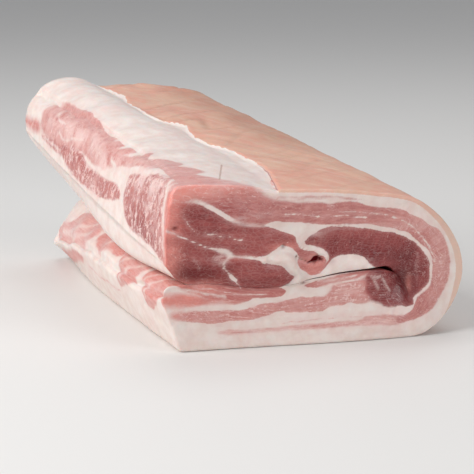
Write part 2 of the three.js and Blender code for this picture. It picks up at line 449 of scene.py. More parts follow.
@dataclass(frozen=True)
class Spot:
    """A round patch of a mask or of the relief: centre and half widths in mm, and its strength."""

    x: float
    z: float
    half_x: float
    half_z: float
    strength: float  # share of the mask, or rise in mm

    def at(self, x: Array, z: Array) -> Array:
        """Bell over the patch, 1 at its centre."""
        return bell(x, self.x, self.half_x) * bell(z, self.z, self.half_z)


@dataclass(frozen=True)
class CutPattern:
    """Lean and fat on one cut face, from rings and paths in the face's own two measures."""

    muscles: tuple[Muscle, ...]
    streaks: tuple[Streak, ...] = ()
    threads: tuple[Streak, ...] = ()  # thin lines of lean through the fat
    warm: tuple[Spot, ...] = ()
    tone: tuple[Spot, ...] = ()
    # dark: painted shade in gaps, pits and holes, and a deeper red of the lean in places
    dark: tuple[Spot, ...] = ()
    haze: tuple[Spot, ...] = ()  # fat smeared over the lean
    soft: tuple[Spot, ...] = ()  # where lean fades into fat
    marble: tuple[Spot, ...] = ()
    across: tuple[Spot, ...] = ()
    cuts: tuple[Streak, ...] = ()  # nicks
    hollows: tuple[Ring, ...] = ()  # dark holes
    swells: tuple[Spot, ...] = ()  # bells that stand out or sink in
    lobes: tuple[Lobe, ...] = ()
    waver: float = 0.45  # mm, how far the borders wander
    waver_sizes: Range = (5.0, 1.7)  # mm, lengths of the wide and the fine bends
    waver_fine: float = 0.4  # share of the fine bends
    seam: float = 1.2  # mm, over which one muscle's finish gives way to the next
    muscle_reach: float = 4.0  # mm, from a muscle's border to the top of its dome
    lobe_reach: float = 1.6
    hole_depth: float = 2.4
    hole_reach: float = 0.7  # mm, from a hole's border to its floor
    nick_depth: Range = (0.4, 3.0)  # mm, and what each mm of a nick's half width adds
    nick_reach: float = 0.7
    seed: int = 5

    def warp(self, x: Array, z: Array) -> tuple[Array, Array]:
        """Moves each point by smooth random relief, so that the borders wander as tissue does."""
        first, second = Grain(self.seed), Grain(self.seed + 1)
        wide, fine = ((x / size, z / size) for size in self.waver_sizes)
        return (
            x + self.waver * (first.at(*wide) + self.waver_fine * second.at(*fine)),
            z + self.waver * (second.at(*wide) + self.waver_fine * first.at(*fine)),
        )

    def tissue(self, x: Array, z: Array) -> dict[str, Array]:
        """Masks over the cut.

        A point belongs to the muscle whose ring it lies deepest in. Streaks cut the muscles: the lean's
        depth is the least of the muscle's and of the distance past the streak's edge.

        Args:
            x, z: flat arrays of points in the face's measures, mm.

        Returns:
            The masks by name: lean and cut in mm past their border, the rest from 0 to 1.
        """
        wx, wz = self.warp(x, z)
        depths = [ring_depth(wx, wz, muscle.ring) for muscle in self.muscles]
        lean = np.max(depths, axis=0)
        weights = [np.exp((d - lean) / self.seam) for d in depths]
        total = np.sum(weights, axis=0)
        blend = {
            name: sum(w * getattr(m, name) for w, m in zip(weights, self.muscles)) / total
            for name in ("tone", "warm", "marble", "across")
        }
        uneven = 1 + Bumps(self.seed + 2, 0.9, 3.1, 3.1).at(x, z)
        for streak in self.streaks:
            lean = np.minimum(lean, path_reach(wx, wz, streak.path) - streak.half * uneven)
        uneven = 1 + Bumps(self.seed + 2, 1.2, 4.3, 4.3).at(x, z)
        for thread in self.threads:
            lean = np.maximum(lean, thread.half * uneven - path_reach(wx, wz, thread.path))
        for lobe in self.lobes:
            lean = np.minimum(lean, -ring_depth(wx, wz, lobe.ring))
        found = {"lean": lean, "cut": self.cut_distance(x, z), **blend}
        for name in ("warm", "tone", "dark", "haze", "soft", "marble", "across"):
            spots = sum((spot.strength * spot.at(x, z) for spot in getattr(self, name)), 0 * x)
            found[name] = np.clip(found.get(name, 0) + spots, 0, 1)
        # the holes get painted shade
        for ring in self.hollows:
            found["dark"] = np.maximum(found["dark"], smoothstep(ring_depth(x, z, ring), -0.4, 0.4))
        return found

    def cut_distance(self, x: Array, z: Array) -> Array:
        """Distance past the edge of the nearest nick, mm, and FAR_OFF where there is none."""
        away = [path_reach(x, z, nick.path) - nick.half for nick in self.cuts]
        return np.min(away, axis=0) if away else np.full(x.shape, FAR_OFF)

    def relief(self, x: Array, z: Array) -> Array:
        """How far the tissue stands out of the cut: domes over muscles and lobes, bells, and fine grain."""
        height = Bumps(self.seed + 3, 0.3, 6, 6).at(x, z) + Bumps(self.seed + 4, 0.14, 2, 2).at(x, z)
        least, more = self.nick_depth
        for nick in self.cuts:
            past = np.maximum(path_reach(x, z, nick.path) - nick.half, 0)
            height = height - (least + more * nick.half) * bell(past, 0, self.nick_reach)
        for ring in self.hollows:
            deep = np.maximum(ring_depth(x, z, ring), 0)
            height = height - self.hole_depth * (1 - np.exp(-deep / self.hole_reach))
        for swell in self.swells:
            height = height + swell.strength * swell.at(x, z)
        domes = [(part, self.muscle_reach) for part in self.muscles]
        for part, reach in domes + [(part, self.lobe_reach) for part in self.lobes]:
            if part.rise:
                deep = np.clip(ring_depth(x, z, part.ring), 0, None)
                height = height + part.rise * (1 - np.exp(-deep / reach))
        return height


FRONT_PATTERN = CutPattern(
    muscles=(
        Muscle("outer_sheet", 0.3, 0.02, 0.22, 0.0, (
            (-15, 92), (-15, 109), (10, 109), (30, 106), (45, 99.5), (53, 93.5), (62, 90), (74, 87.8),
            (88, 87.3), (94, 85.8), (104, 87), (112, 86), (118, 84), (129, 82), (140, 80.5), (146, 77),
            (153, 74), (159, 70), (165, 66.5), (170, 61.5), (173, 55.5), (174.8, 48.5), (175.2, 41),
            (174, 34), (171.5, 28.5), (168.5, 25), (166, 21), (162, 16.5), (157, 13.5), (151, 11.5),
            (143, 9.3), (137, 9), (136, 13.5), (143, 14), (148.5, 17), (151, 22), (154, 26), (158.5, 29),
            (161.3, 34), (162.2, 41), (161.7, 47), (159.2, 53), (155, 57.2), (150, 61.3), (145.5, 65),
            (139.5, 67), (134.5, 68.7), (128.5, 69.9), (119.5, 71.7), (108.5, 72.4), (97.5, 73),
            (88.5, 73.4), (81.5, 74.3), (74, 75.3), (66.5, 76.2), (59.5, 77), (52, 75.4), (47, 74.6),
            (43, 75.4), (38, 77.2), (34, 79.9), (30, 82.4), (26, 84.9), (20, 88.7), (14, 91.4), (8, 92.4),
            (2, 91.6))),
        Muscle("broad_muscle", 0.53, 0.04, 0.04, 0.6, (
            (-15, 92.8), (2, 92.2), (9, 90.8), (14, 88.9), (20, 85.4), (26, 81.4), (30, 79.4), (34, 78.2),
            (38, 77.4), (42, 76.4), (47, 75.2), (56, 73.6), (63, 70.8), (70, 68.3), (73, 65.8),
            (75.5, 61.4), (80, 59.5), (85, 58.4), (88.5, 57.1), (91.6, 55.2), (90.8, 52.8), (88.5, 54),
            (84.5, 54), (80.5, 52.6), (76, 53.5), (73, 57.2), (70.5, 60), (66.5, 61.2), (63, 61.7),
            (59, 59.7), (55, 57.5), (49.5, 56.1), (44, 57), (38, 57.4), (33.5, 58), (31.5, 60),
            (28, 62.2), (18, 63.8), (12, 66.2), (6, 68.9), (-1, 72.4), (-8, 75.2), (-15, 76.5))),
        Muscle("fold_muscle", 0.68, 0.0, 0.1, 0.5, (
            (78.5, 62.5), (81, 66), (86.5, 69), (90, 70.8), (97.5, 71.5), (108.5, 70.5), (119.5, 69),
            (127, 67.2), (138.5, 64.9), (146, 61.4), (152.5, 56.9), (156.5, 51.5), (159.6, 46),
            (160.2, 40), (159, 33), (155, 28.5), (150.5, 25), (147, 20.5), (143.5, 21), (140.5, 30),
            (138, 37), (133, 42.2), (128, 44), (123.5, 45.3), (120, 48), (117, 51.3), (111, 53.2),
            (105, 53.7), (98, 52.4), (93.5, 48.5), (91, 46.5), (92.3, 50), (93, 54), (91, 57.5),
            (86, 60)), 1.0),
        Muscle("corner_muscle", 0.66, 0.08, 0.16, 0.8, (
            (-16, 52), (-16, 74.5), (-7, 74), (-2, 71.8), (6, 68), (12, 65.1), (18, 62.8), (24, 60.6),
            (28.5, 58), (29, 55.5), (26.8, 53), (28, 49.4), (31, 45.5), (34.3, 41.5), (37, 37.5),
            (27.5, 38.5), (17.5, 40.4), (9, 41.2), (0, 41.5), (-8, 44))),
        Muscle("round_muscle", 0.64, 0.05, 0.06, 1.6, (
            (27.7, 53), (30, 55.5), (34, 56.6), (40.5, 56), (49, 53.9), (56, 51.4), (61, 50.7),
            (65, 48.6), (68, 45), (71.5, 43.3), (71, 41), (66, 38), (60, 35.8), (52, 35.2), (45, 35.6),
            (38.5, 37), (35.2, 41.5), (32, 45.8), (28.7, 49.4))),
        Muscle("small_muscle", 0.42, 0.35, 0.3, 0.6, (
            (73.5, 52.6), (77.5, 53.4), (81.5, 54), (86, 54.5), (91, 53.6), (92, 49), (90.5, 45.5),
            (87.5, 43.2), (82, 42.6), (78.5, 45), (75, 48))),
        Muscle("slit_floor", 0.38, 0.3, 0.3, 0.0, (
            (77.5, 36.4), (84, 38.6), (90.5, 40), (101.5, 41.8), (112.5, 43), (121, 43.6), (116, 40),
            (105, 38), (95, 36.6), (90, 35.6), (84, 35.1))),
        Muscle("shelf_band", 0.42, 0.3, 0.3, 0.0, (
            (-2, 42), (12, 42), (24, 40.5), (34, 38), (45, 36.3), (55, 35.9), (63, 36), (66, 34),
            (63.5, 31), (54, 30.4), (46, 31), (42, 29), (34, 27.9), (27, 28.8), (20, 29.4), (16, 31.5),
            (11, 34.6), (4, 37.5))),
        Muscle("rib_wedge", 0.3, 0.7, 0.06, 0.0, (
            (-16, 34.5), (-8, 36.2), (0, 36.6), (8, 35.2), (16, 33.2), (26, 30.8), (36, 29.2), (26, 28.6),
            (12, 28.2), (3, 28), (-4, 28.2), (-10, 28.8), (-16, 29.4))),
        Muscle("lower_sheet", 0.2, 0.08, 0.75, 0.2, (
            (-4.8, 23.5), (-1, 25.2), (9, 25), (17.5, 24.6), (27.5, 24.4), (38, 24.2), (45, 25.2),
            (50, 26.7), (59.5, 27.2), (67, 28.7), (74, 29.7), (84, 29.3), (91, 29.8), (94.5, 32.5),
            (96.5, 35.5), (105, 37), (112, 38), (118, 38), (120, 31), (121, 26), (117, 23.2),
            (111.5, 23.2), (107.5, 24.5), (103, 23), (96, 23), (92.5, 21.8), (89, 20.3), (83, 20),
            (75.5, 20.5), (67, 20.5), (63.5, 22), (54, 19.7), (47, 17.8), (39, 17.2), (33.5, 17.6),
            (25.5, 17), (18.5, 16.7), (11, 18), (0.5, 20), (-4.8, 21.5)), 0.5),
        Muscle("fold_floor", 0.68, 0.0, 0.3, 0.4, (
            (115.5, 33), (117, 38.5), (119, 42.3), (125, 44.8), (131.5, 44), (137.8, 41), (142.4, 35.5),
            (145.4, 28.5), (147, 24), (149, 25.5), (149.5, 20), (145, 19.3), (139.5, 19.6), (134, 19.3),
            (129.5, 20.3), (126.5, 22.5), (121, 24.8), (117, 29))),
        Muscle("lower_streak", 0.1, 0.03, 0.7, 0.0, (
            (24, 10.7), (30.5, 12), (38, 11.2), (46, 11.4), (56, 11.7), (67, 12.2), (80, 12.6), (92, 13),
            (104, 13.2), (114, 13.6), (117, 15.3), (128, 15.2), (136, 14.8), (138.5, 12), (137, 8.8),
            (128, 9), (118, 9.7), (105.5, 10), (93, 9.8), (80, 9.8), (67, 10.2), (52.5, 9.9), (40, 9.5),
            (30.5, 9.2))),
    ),
    streaks=(
        Streak(0.45, ((66, 80.6), (72.5, 80.1), (78.5, 80.1), (83.5, 79.1), (92, 78), (105, 77.8),
                      (118, 76))),
        Streak(0.3, ((96, 81.5), (112, 79.5), (128, 78), (138, 74.5))),
        Streak(0.35, ((130, 76), (140, 73.5), (148, 69), (155, 62), (160, 55), (164, 46))),
        Streak(0.22, ((2, 82.5), (4.5, 80), (5.5, 77.4), (9, 74.2))),
        Streak(0.34, ((15, 73.2), (18, 71.2), (21.5, 71.4), (25, 69.4))),
        Streak(0.26, ((30, 70.2), (33, 68.4), (35, 66.8), (38, 67.2))),
        Streak(0.2, ((8, 57.5), (10.4, 54.9), (12.2, 51))),
        Streak(0.25, ((26, 51), (29, 48), (31.5, 45.5))),
        Streak(0.9, ((31.5, 45), (33, 43.4), (34.8, 42))),
        Streak(0.04, ((121, 40), (123, 37), (126, 32))),
        Streak(0.06, ((129, 37), (131, 34), (134, 29))),
        Streak(0.15, ((123.5, 39.6), (125.5, 38.4), (127.5, 39.2))),
        Streak(0.5, ((-14, 37), (-4, 38), (2, 38.6), (9, 37.4), (18, 34.8), (28, 32.6))),
        Streak(0.2, ((10, 39.4), (22, 37.2), (32, 34.6), (42, 33.2), (54, 32.6))),
        Streak(0.3, ((86, 38.4), (95, 39), (106, 40.2), (112, 41))),
    ),
    threads=(
        Streak(0.2, ((64, 14.4), (76, 14.8), (90, 15.6), (104, 15.8), (114, 15.6))),
        Streak(0.3, ((40, 98), (52, 92.6), (70, 91), (95, 90), (115, 88))),
        Streak(0.25, ((150, 16), (160, 21), (167, 30), (170, 40))),
    ),
    tone=(
        Spot(22, 84, 30, 12, 0.14), Spot(168, 44, 13, 30, -0.16), Spot(150, 74, 18, 8, -0.12),
        Spot(120, 68, 36, 4, -0.14), Spot(146, 40, 12, 14, 0.16), Spot(122, 52, 24, 5, 0.1),
        Spot(6, 46, 20, 6, 0.12), Spot(84, 55, 10, 4, -0.2), Spot(66, 66, 12, 5, -0.08),
        Spot(104, 31, 16, 6, -0.06), Spot(8, 82, 14, 10, 0.06), Spot(40, 42, 26, 4, 0.14),
        Spot(145, 31, 5, 9, 0.16), Spot(-2, 50, 14, 8, 0.12), Spot(6, 101, 40, 8, -0.3),
        Spot(-7, 80, 7, 24, -0.2), Spot(10, 58, 12, 5, -0.1), Spot(52, 44, 16, 6, -0.08),
        Spot(64, 66, 10, 4, 0.14),
    ),
    warm=(
        Spot(-6, 84, 7, 22, 0.75), Spot(-7, 54, 7, 14, 0.7), Spot(4, 99, 36, 6, 0.95),
        Spot(66, 61, 9, 3, 0.8), Spot(4, 42.5, 18, 3, 0.5), Spot(147, 33, 2, 6, 0.5),
        Spot(36, 56, 10, 1.6, 0.4), Spot(96, 49, 5, 3, 0.35), Spot(12, 38, 14, 4, 0.5),
        Spot(-6, 24, 7, 3, 0.5), Spot(84, 47, 6, 5, 0.4),
    ),
    # painted shade in the slit, the pocket, the hole and the pits; the wide spots at (10, 47) and (60, 40)
    # darken the lean there
    dark=(
        Spot(64.6, 61.2, 0.9, 0.6, 0.9), Spot(-3, 76.2, 1.6, 0.9, 0.9), Spot(128, 43.8, 7, 0.9, 0.7),
        Spot(137, 40.5, 3.4, 1.8, 0.8), Spot(140.8, 36.5, 2.2, 2.8, 0.75), Spot(143.6, 31, 2, 4, 0.65),
        Spot(145, 26, 1.6, 3, 0.4), Spot(72.8, 54.8, 0.8, 0.8, 0.8), Spot(77, 38.4, 1.6, 0.8, 0.7),
        Spot(10, 47, 16, 6, 0.5), Spot(60, 40, 20, 3, 0.16), Spot(112, 42.4, 12, 0.8, 0.3),
    ),
    hollows=(
        ((78.5, 51.6), (81.6, 51.8), (83.9, 53.8), (86.2, 54.8), (88, 53.8), (90.4, 51.8), (89.6, 50.9),
         (87.1, 51.6), (85.3, 50.3), (82.5, 50.3), (79.8, 50.8)),
    ),
    haze=(
        Spot(26, 56, 5, 4, 0.75), Spot(40, 79, 9, 3, 0.55), Spot(62, 92, 14, 3, 0.5),
        Spot(20, 71, 10, 1.6, 0.2), Spot(105, 32, 12, 7, 0.15), Spot(33, 32, 12, 2.5, 0.3),
        Spot(95, 38, 12, 2, 0.4), Spot(40, 45, 6, 5, 0.1), Spot(128, 12, 11, 3, 0.45),
        Spot(86, 67, 5, 4, 0.4), Spot(60, 82, 20, 2, 0.2), Spot(110, 70, 26, 2.4, 0.3),
        Spot(152, 44, 1.2, 8, 0.5), Spot(45, 76, 6, 1.2, 0.5),
    ),
    soft=(
        Spot(2, 101, 34, 8, 1.0), Spot(48, 97, 18, 6, 0.7), Spot(84, 89, 30, 4, 0.3),
        Spot(42, 77, 9, 4, 0.8), Spot(-6, 24, 8, 6, 0.6), Spot(-6, 32, 16, 7, 1.0),
        Spot(164, 20, 10, 12, 0.2), Spot(128, 12, 10, 4, 0.3), Spot(96, 33, 6, 8, 0.3),
        Spot(172, 44, 6, 18, 0.15), Spot(-12, 70, 7, 34, 0.6), Spot(120, 32, 8, 10, 0.35),
        Spot(152, 44, 3, 10, 0.3), Spot(30, 57, 10, 5, 0.3), Spot(60, 10, 60, 3, 0.4),
        Spot(24, 30, 12, 3, 0.6), Spot(130, 30, 12, 12, 0.35),
    ),
    marble=(
        Spot(166, 40, 12, 26, 0.5), Spot(150, 70, 16, 8, 0.35), Spot(4, 100, 40, 6, 0.3),
        Spot(104, 30, 14, 7, 0.3),
    ),
    across=(Spot(168, 44, 12, 26, 1.0), Spot(150, 70, 14, 8, 0.8)),
    cuts=(Streak(0.2, ((73, 54.8), (76, 53), (79.5, 51.4))),),
    swells=(
        Spot(30, 78, 32, 16, 2.6), Spot(54, 48, 20, 12, 2.8), Spot(116, 60, 34, 14, -3),
        Spot(141, 34, 12, 13, -5), Spot(64.6, 62, 1.6, 1.2, -2.5),
        Spot(-3, 76.2, 2.4, 1.6, -1.5), Spot(60, 74, 22, 4, -0.6), Spot(77, 38.4, 2.5, 1.4, -2),
        Spot(25, 58, 12, 3, -1.2), Spot(33, 45, 4, 6, -1.0), Spot(50.5, 54, 1.2, 0.9, 1.1),
        Spot(53.2, 55.6, 1, 0.8, 1.2), Spot(55.6, 53.8, 1.1, 0.8, 0.9),
        Spot(93, 53, 1.6, 2.4, 1.2),
    ),
    lobes=(
        Lobe("central_fat", 2.8, (
            (49.5, 54), (52, 56), (55, 55), (58.5, 55.2), (61.5, 56.8), (65.5, 58), (69.5, 56.8),
            (72.6, 53.8), (73.4, 51.5), (73.8, 47), (76.5, 43.5), (79, 40.5), (79.5, 37.8), (74, 36.5),
            (66, 37), (70.5, 41), (71.5, 43.5), (67, 46.5), (64, 50), (59.5, 51.5), (55, 53.5),
            (52, 52))),
        Lobe("fold_fat", 0.9, (
            (80, 38.2), (86, 42), (91, 46), (97.5, 51), (105, 52.8), (111, 52.5), (117, 50.5),
            (120, 46.8), (124, 44.4), (112.5, 43.2), (101.5, 42.2), (90.5, 40.2), (83, 38.2))),
        Lobe("flap_rim", 1.2, (
            (73, 67.5), (74.5, 64), (76.5, 60.6), (80.5, 59.8), (85, 59), (87.5, 58), (90.5, 57.6),
            (93.6, 55.2), (93.8, 51), (92.2, 51), (90.6, 53.6), (88, 54.6), (85.5, 56.8), (82, 57.8),
            (77.5, 58.6), (74.5, 60.4), (72.5, 64.5))),
    ),
    seed=5,
)

SIDE_PATTERN = CutPattern(
    muscles=(
        Muscle("upper_muscle", 0.15, 0.02, 0.45, 0.5, (
            (264, 3), (256, -3.5), (248, -8), (233, -9.5), (218, -9.5), (201, -11), (186, -9.5),
            (174, -8), (156, -5), (138, 0), (131, -4.5), (126, -3.5), (122, 1), (106, -1.5), (100, 0),
            (108, 3.5), (94, 0.5), (91, -7), (87, -12.5), (82, -11), (76, -5.5), (70, -11.5), (63, -17.5),
            (50, -21), (46, -17), (41, -23.5), (31, -29), (25, -22), (16, -31), (8, -42), (0, -54),
            (-14, -60), (-14, 4), (6, 3), (18, -1), (36, -3.5), (48, 0), (62, 1.5), (82, 5), (100, 9),
            (118, 13), (130, 17), (150, 18), (170, 17), (187, 16), (200, 19), (227, 20), (248, 19),
            (262, 16), (265, 9))),
        Muscle("far_muscle", 0.22, 0.25, 0.4, 0.4, (
            (300, 15.5), (290, 14), (278, 12.6), (270, 12.4), (265, 15), (264, 18), (270, 20.5),
            (285, 20.5), (299, 19))),
        Muscle("second_muscle", 0.34, 0.0, 1.0, 0.6, (
            (258, 20), (236, 18), (206, 18), (192, 15.5), (181, 16), (171, 18), (159, 21), (138, 22),
            (115, 20.5), (96, 21), (89, 26.5), (100, 30.5), (123, 34), (142, 34.5), (164, 35), (180, 34),
            (197, 30.5), (206, 27), (225, 25), (246, 24))),
        Muscle("front_muscle", 0.38, 0.0, 1.0, 0.7, (
            (84, 12), (73, 8), (62, 5), (53, 4.5), (40, 1.5), (30, 0), (20, 0.5), (12, 4), (9, 12),
            (8.5, 21.5), (6, 27), (4, 33), (3, 41), (3.5, 47), (14, 45), (27, 42.5), (40, 41), (63, 39.5),
            (74, 35), (81, 28), (84, 18))),
        Muscle("front_rim", 0.3, 0.35, 0.15, 0.0, (
            (-15, 2), (3, 2.5), (6.3, 8), (6, 20), (3.8, 27), (2.5, 34), (3, 42), (2.5, 49), (-15, 54))),
    ),
    streaks=(
        Streak(1.3, ((8.6, 1), (9, 9), (8.4, 17))),
        Streak(0.5, ((8.4, 17), (7.2, 22), (5, 28))),
        Streak(1.4, ((120, 9), (108, 13), (98, 17), (86, 15), (84, 8))),
        Streak(1.1, ((86, 16), (86, 24), (83, 32), (75, 38))),
        Streak(0.6, ((222, 12), (205, 15), (196, 11), (180, 8))),
        Streak(0.5, ((240, 2), (225, 5), (214, 3))),
        Streak(0.4, ((250, 21), (230, 22), (212, 22.5))),
    ),
    threads=(
        Streak(0.4, ((-3, -65.5), (12, -66.5), (24, -69))),
    ),
    warm=(
        Spot(14, -12, 20, 14, 0.3), Spot(110, 0, 26, 5, 0.2), Spot(0, 30, 7, 30, 0.4),
        Spot(8, -67, 22, 2, 0.9),
    ),
    tone=(Spot(40, 36, 30, 9, 0.16),),
    haze=(
        Spot(162, 9, 30, 7, 0.9), Spot(122, 15, 22, 6, 0.85), Spot(100, 8, 16, 5, 0.6),
        Spot(236, 8, 24, 7, 0.6), Spot(206, 8, 20, 6, 0.6), Spot(190, 2, 40, 6, 0.2),
        Spot(60, -8, 34, 9, 0.4), Spot(28, 4, 20, 3, 0.5), Spot(8, -38, 22, 12, 0.5),
        Spot(84, 24, 6, 14, 0.5), Spot(46, 8, 34, 8, 1.0), Spot(44, 20, 26, 1.6, 0.5),
        Spot(20, 30, 10, 14, 0.4), Spot(130, 28, 30, 4, 0.4),
    ),
    soft=(
        Spot(262, 0, 16, 14, 0.8), Spot(285, 17, 30, 10, 0.9), Spot(20, -30, 30, 10, 0.45),
        Spot(235, -6, 34, 8, 0.3), Spot(140, 8, 40, 8, 0.4), Spot(222, 12, 30, 5, 0.4),
        Spot(4, -50, 16, 12, 0.7), Spot(6, 12, 7, 34, 0.55), Spot(270, 16, 22, 8, 0.5),
        Spot(170, 26, 80, 10, 0.5), Spot(46, 24, 40, 24, 0.45),
    ),
    cuts=(Streak(0.25, ((49, -45.3), (31, -39), (12.3, -32.7))),),
    swells=(
        Spot(70, -2, 16, 6, 0.8), Spot(125, 4, 14, 7, 1.0), Spot(230, 5, 22, 8, 1.2),
        Spot(170, 12, 14, 8, -0.8),
    ),
    waver=0.9,
    seed=21,
)

FOOT_PATTERN = CutPattern(
    muscles=(
        Muscle("tip_rib", 0.1, 0.2, 0.5, 0.6, (
            (296, -13), (266, -16), (262, -26), (245, -27.5), (215, -25), (190, -21), (182, -16.5),
            (188, -8), (211, -3), (265, -2), (290, -4))),
        Muscle("tip_red", 0.34, 0.45, 0.2, 0.3, (
            (296, 9), (264, 6.5), (225, 5), (200, 4), (196, 7), (206, 10.5), (245, 16), (287, 15))),
        Muscle("second_rib", 0.2, 0.35, 0.3, 1.0, (
            (176, -20), (159, -25), (134, -25.5), (118, -19), (116, -11.5), (139, -9), (150, -5),
            (166, -8), (176, -13))),
        Muscle("third_rib", 0.18, 0.3, 0.3, 0.9, (
            (112, -9), (113, -22), (101, -28), (64, -25), (54, -14), (64, -4), (78, 6), (93, 9.5),
            (99, 4), (99, -3))),
        Muscle("near_rib", 0.2, 0.4, 0.25, 1.1, (
            (48, -8), (47, -20), (24, -22), (5, -21), (-15, -16), (-15, -3.5), (4, -3.5), (14, 3),
            (21, 8.5), (31, 12.5), (40, 9.5), (40, 0))),
        Muscle("edge_wedge", 0.3, 0.6, 0.1, 0.0, ((-15, -2), (2, -1), (3.5, 3), (1, 6), (-15, 5))),
    ),
    streaks=(
        Streak(1.0, ((55, -20), (70, -12), (84, -3), (90, 5))),
        Streak(0.9, ((66, -24), (82, -16), (96, -9))),
        Streak(0.8, ((10, -20), (22, -12), (32, -4), (36, 6))),
        Streak(0.7, ((26, -21), (36, -12), (42, -4))),
        Streak(1.0, ((130, -24), (140, -17), (152, -10))),
        Streak(1.2, ((205, -24), (222, -16), (244, -10), (270, -9))),
        Streak(0.9, ((196, -14), (214, -9), (236, -5))),
    ),
    threads=(
        Streak(0.5, ((176, -14), (184, -12), (196, -12))),
        Streak(0.4, ((112, -14), (118, -15), (124, -18))),
        Streak(0.35, ((100, 12), (140, 14), (180, 12))),
    ),
    warm=(Spot(135, -18, 26, 8, 0.2), Spot(25, -8, 20, 9, 0.15), Spot(230, 9, 40, 5, 0.3)),
    haze=(
        Spot(245, -12, 40, 8, 0.6), Spot(150, -12, 18, 5, 0.4), Spot(84, -14, 22, 9, 0.4),
        Spot(30, -4, 18, 7, 0.4), Spot(240, 10, 60, 4, 0.4),
    ),
    soft=(
        Spot(230, -10, 50, 14, 0.8), Spot(145, -16, 26, 10, 0.7), Spot(84, -8, 26, 16, 0.6),
        Spot(20, -4, 26, 12, 0.55), Spot(240, 10, 70, 6, 0.8),
    ),
    swells=(
        Spot(182, -8, 9, 9, -1.2), Spot(108, -4, 8, 10, -1.4), Spot(52, -3, 7, 11, -1.5),
        Spot(150, 14, 60, 10, 0.8), Spot(60, 20, 30, 8, 0.8),
    ),
    waver=1.2,
    seed=37,
)


class Face(Enum):
    """The six faces of the slab's unit box, each with the corners of its place in the texture sheet."""

    FRONT = (0.01, 0.62, 0.70, 0.99)
    OUTER = (0.01, 0.20, 0.64, 0.60)
    LONG = (0.66, 0.20, 0.82, 0.60)
    FOOT = (0.84, 0.20, 0.99, 0.60)
    FAR = (0.72, 0.62, 0.99, 0.99)
    INNER = (0.01, 0.01, 0.99, 0.18)


# dark is painted shade in gaps, pits and holes, partly a deeper red of the lean
MASKS = (
    "lean", "tone", "warm", "marble", "across", "dark", "haze", "soft", "cut",
    # crease is painted shade in the skin's creases and valleys and on the rear skin
    "skin", "rind", "rim", "curl", "crease", "blush",
)


@dataclass
class Patch:
    """One face of the slab as flat arrays: its points' shares and its polygons, as indices into them."""

    face: Face
    s: Array
    t: Array
    v: Array
    quads: Array
    triangles: Array


def weave(fine: Array, coarse: Array, fine_at: Array, coarse_at: Array) -> Array:
    """Triangles between a row of many points and a row of fewer.

    Each step of the fine row joins the nearest coarse point, and each step of the coarse row joins the fine
    point where that nearest point changes.

    Args:
        fine, coarse: the rows' point indices.
        fine_at, coarse_at: the rows' places along their shared direction, rising.

    Returns:
        Rows of three indices, turned the same way as a quad whose first side is the fine row.
    """
    nearest = np.searchsorted((coarse_at[:-1] + coarse_at[1:]) / 2, (fine_at[:-1] + fine_at[1:]) / 2)
    first = np.stack((fine[:-1], fine[1:], coarse[nearest]), 1)
    change = np.searchsorted(nearest, np.arange(1, len(coarse)))
    second = np.stack((coarse[1:], coarse[:-1], fine[change]), 1)
    return np.vstack((first, second))


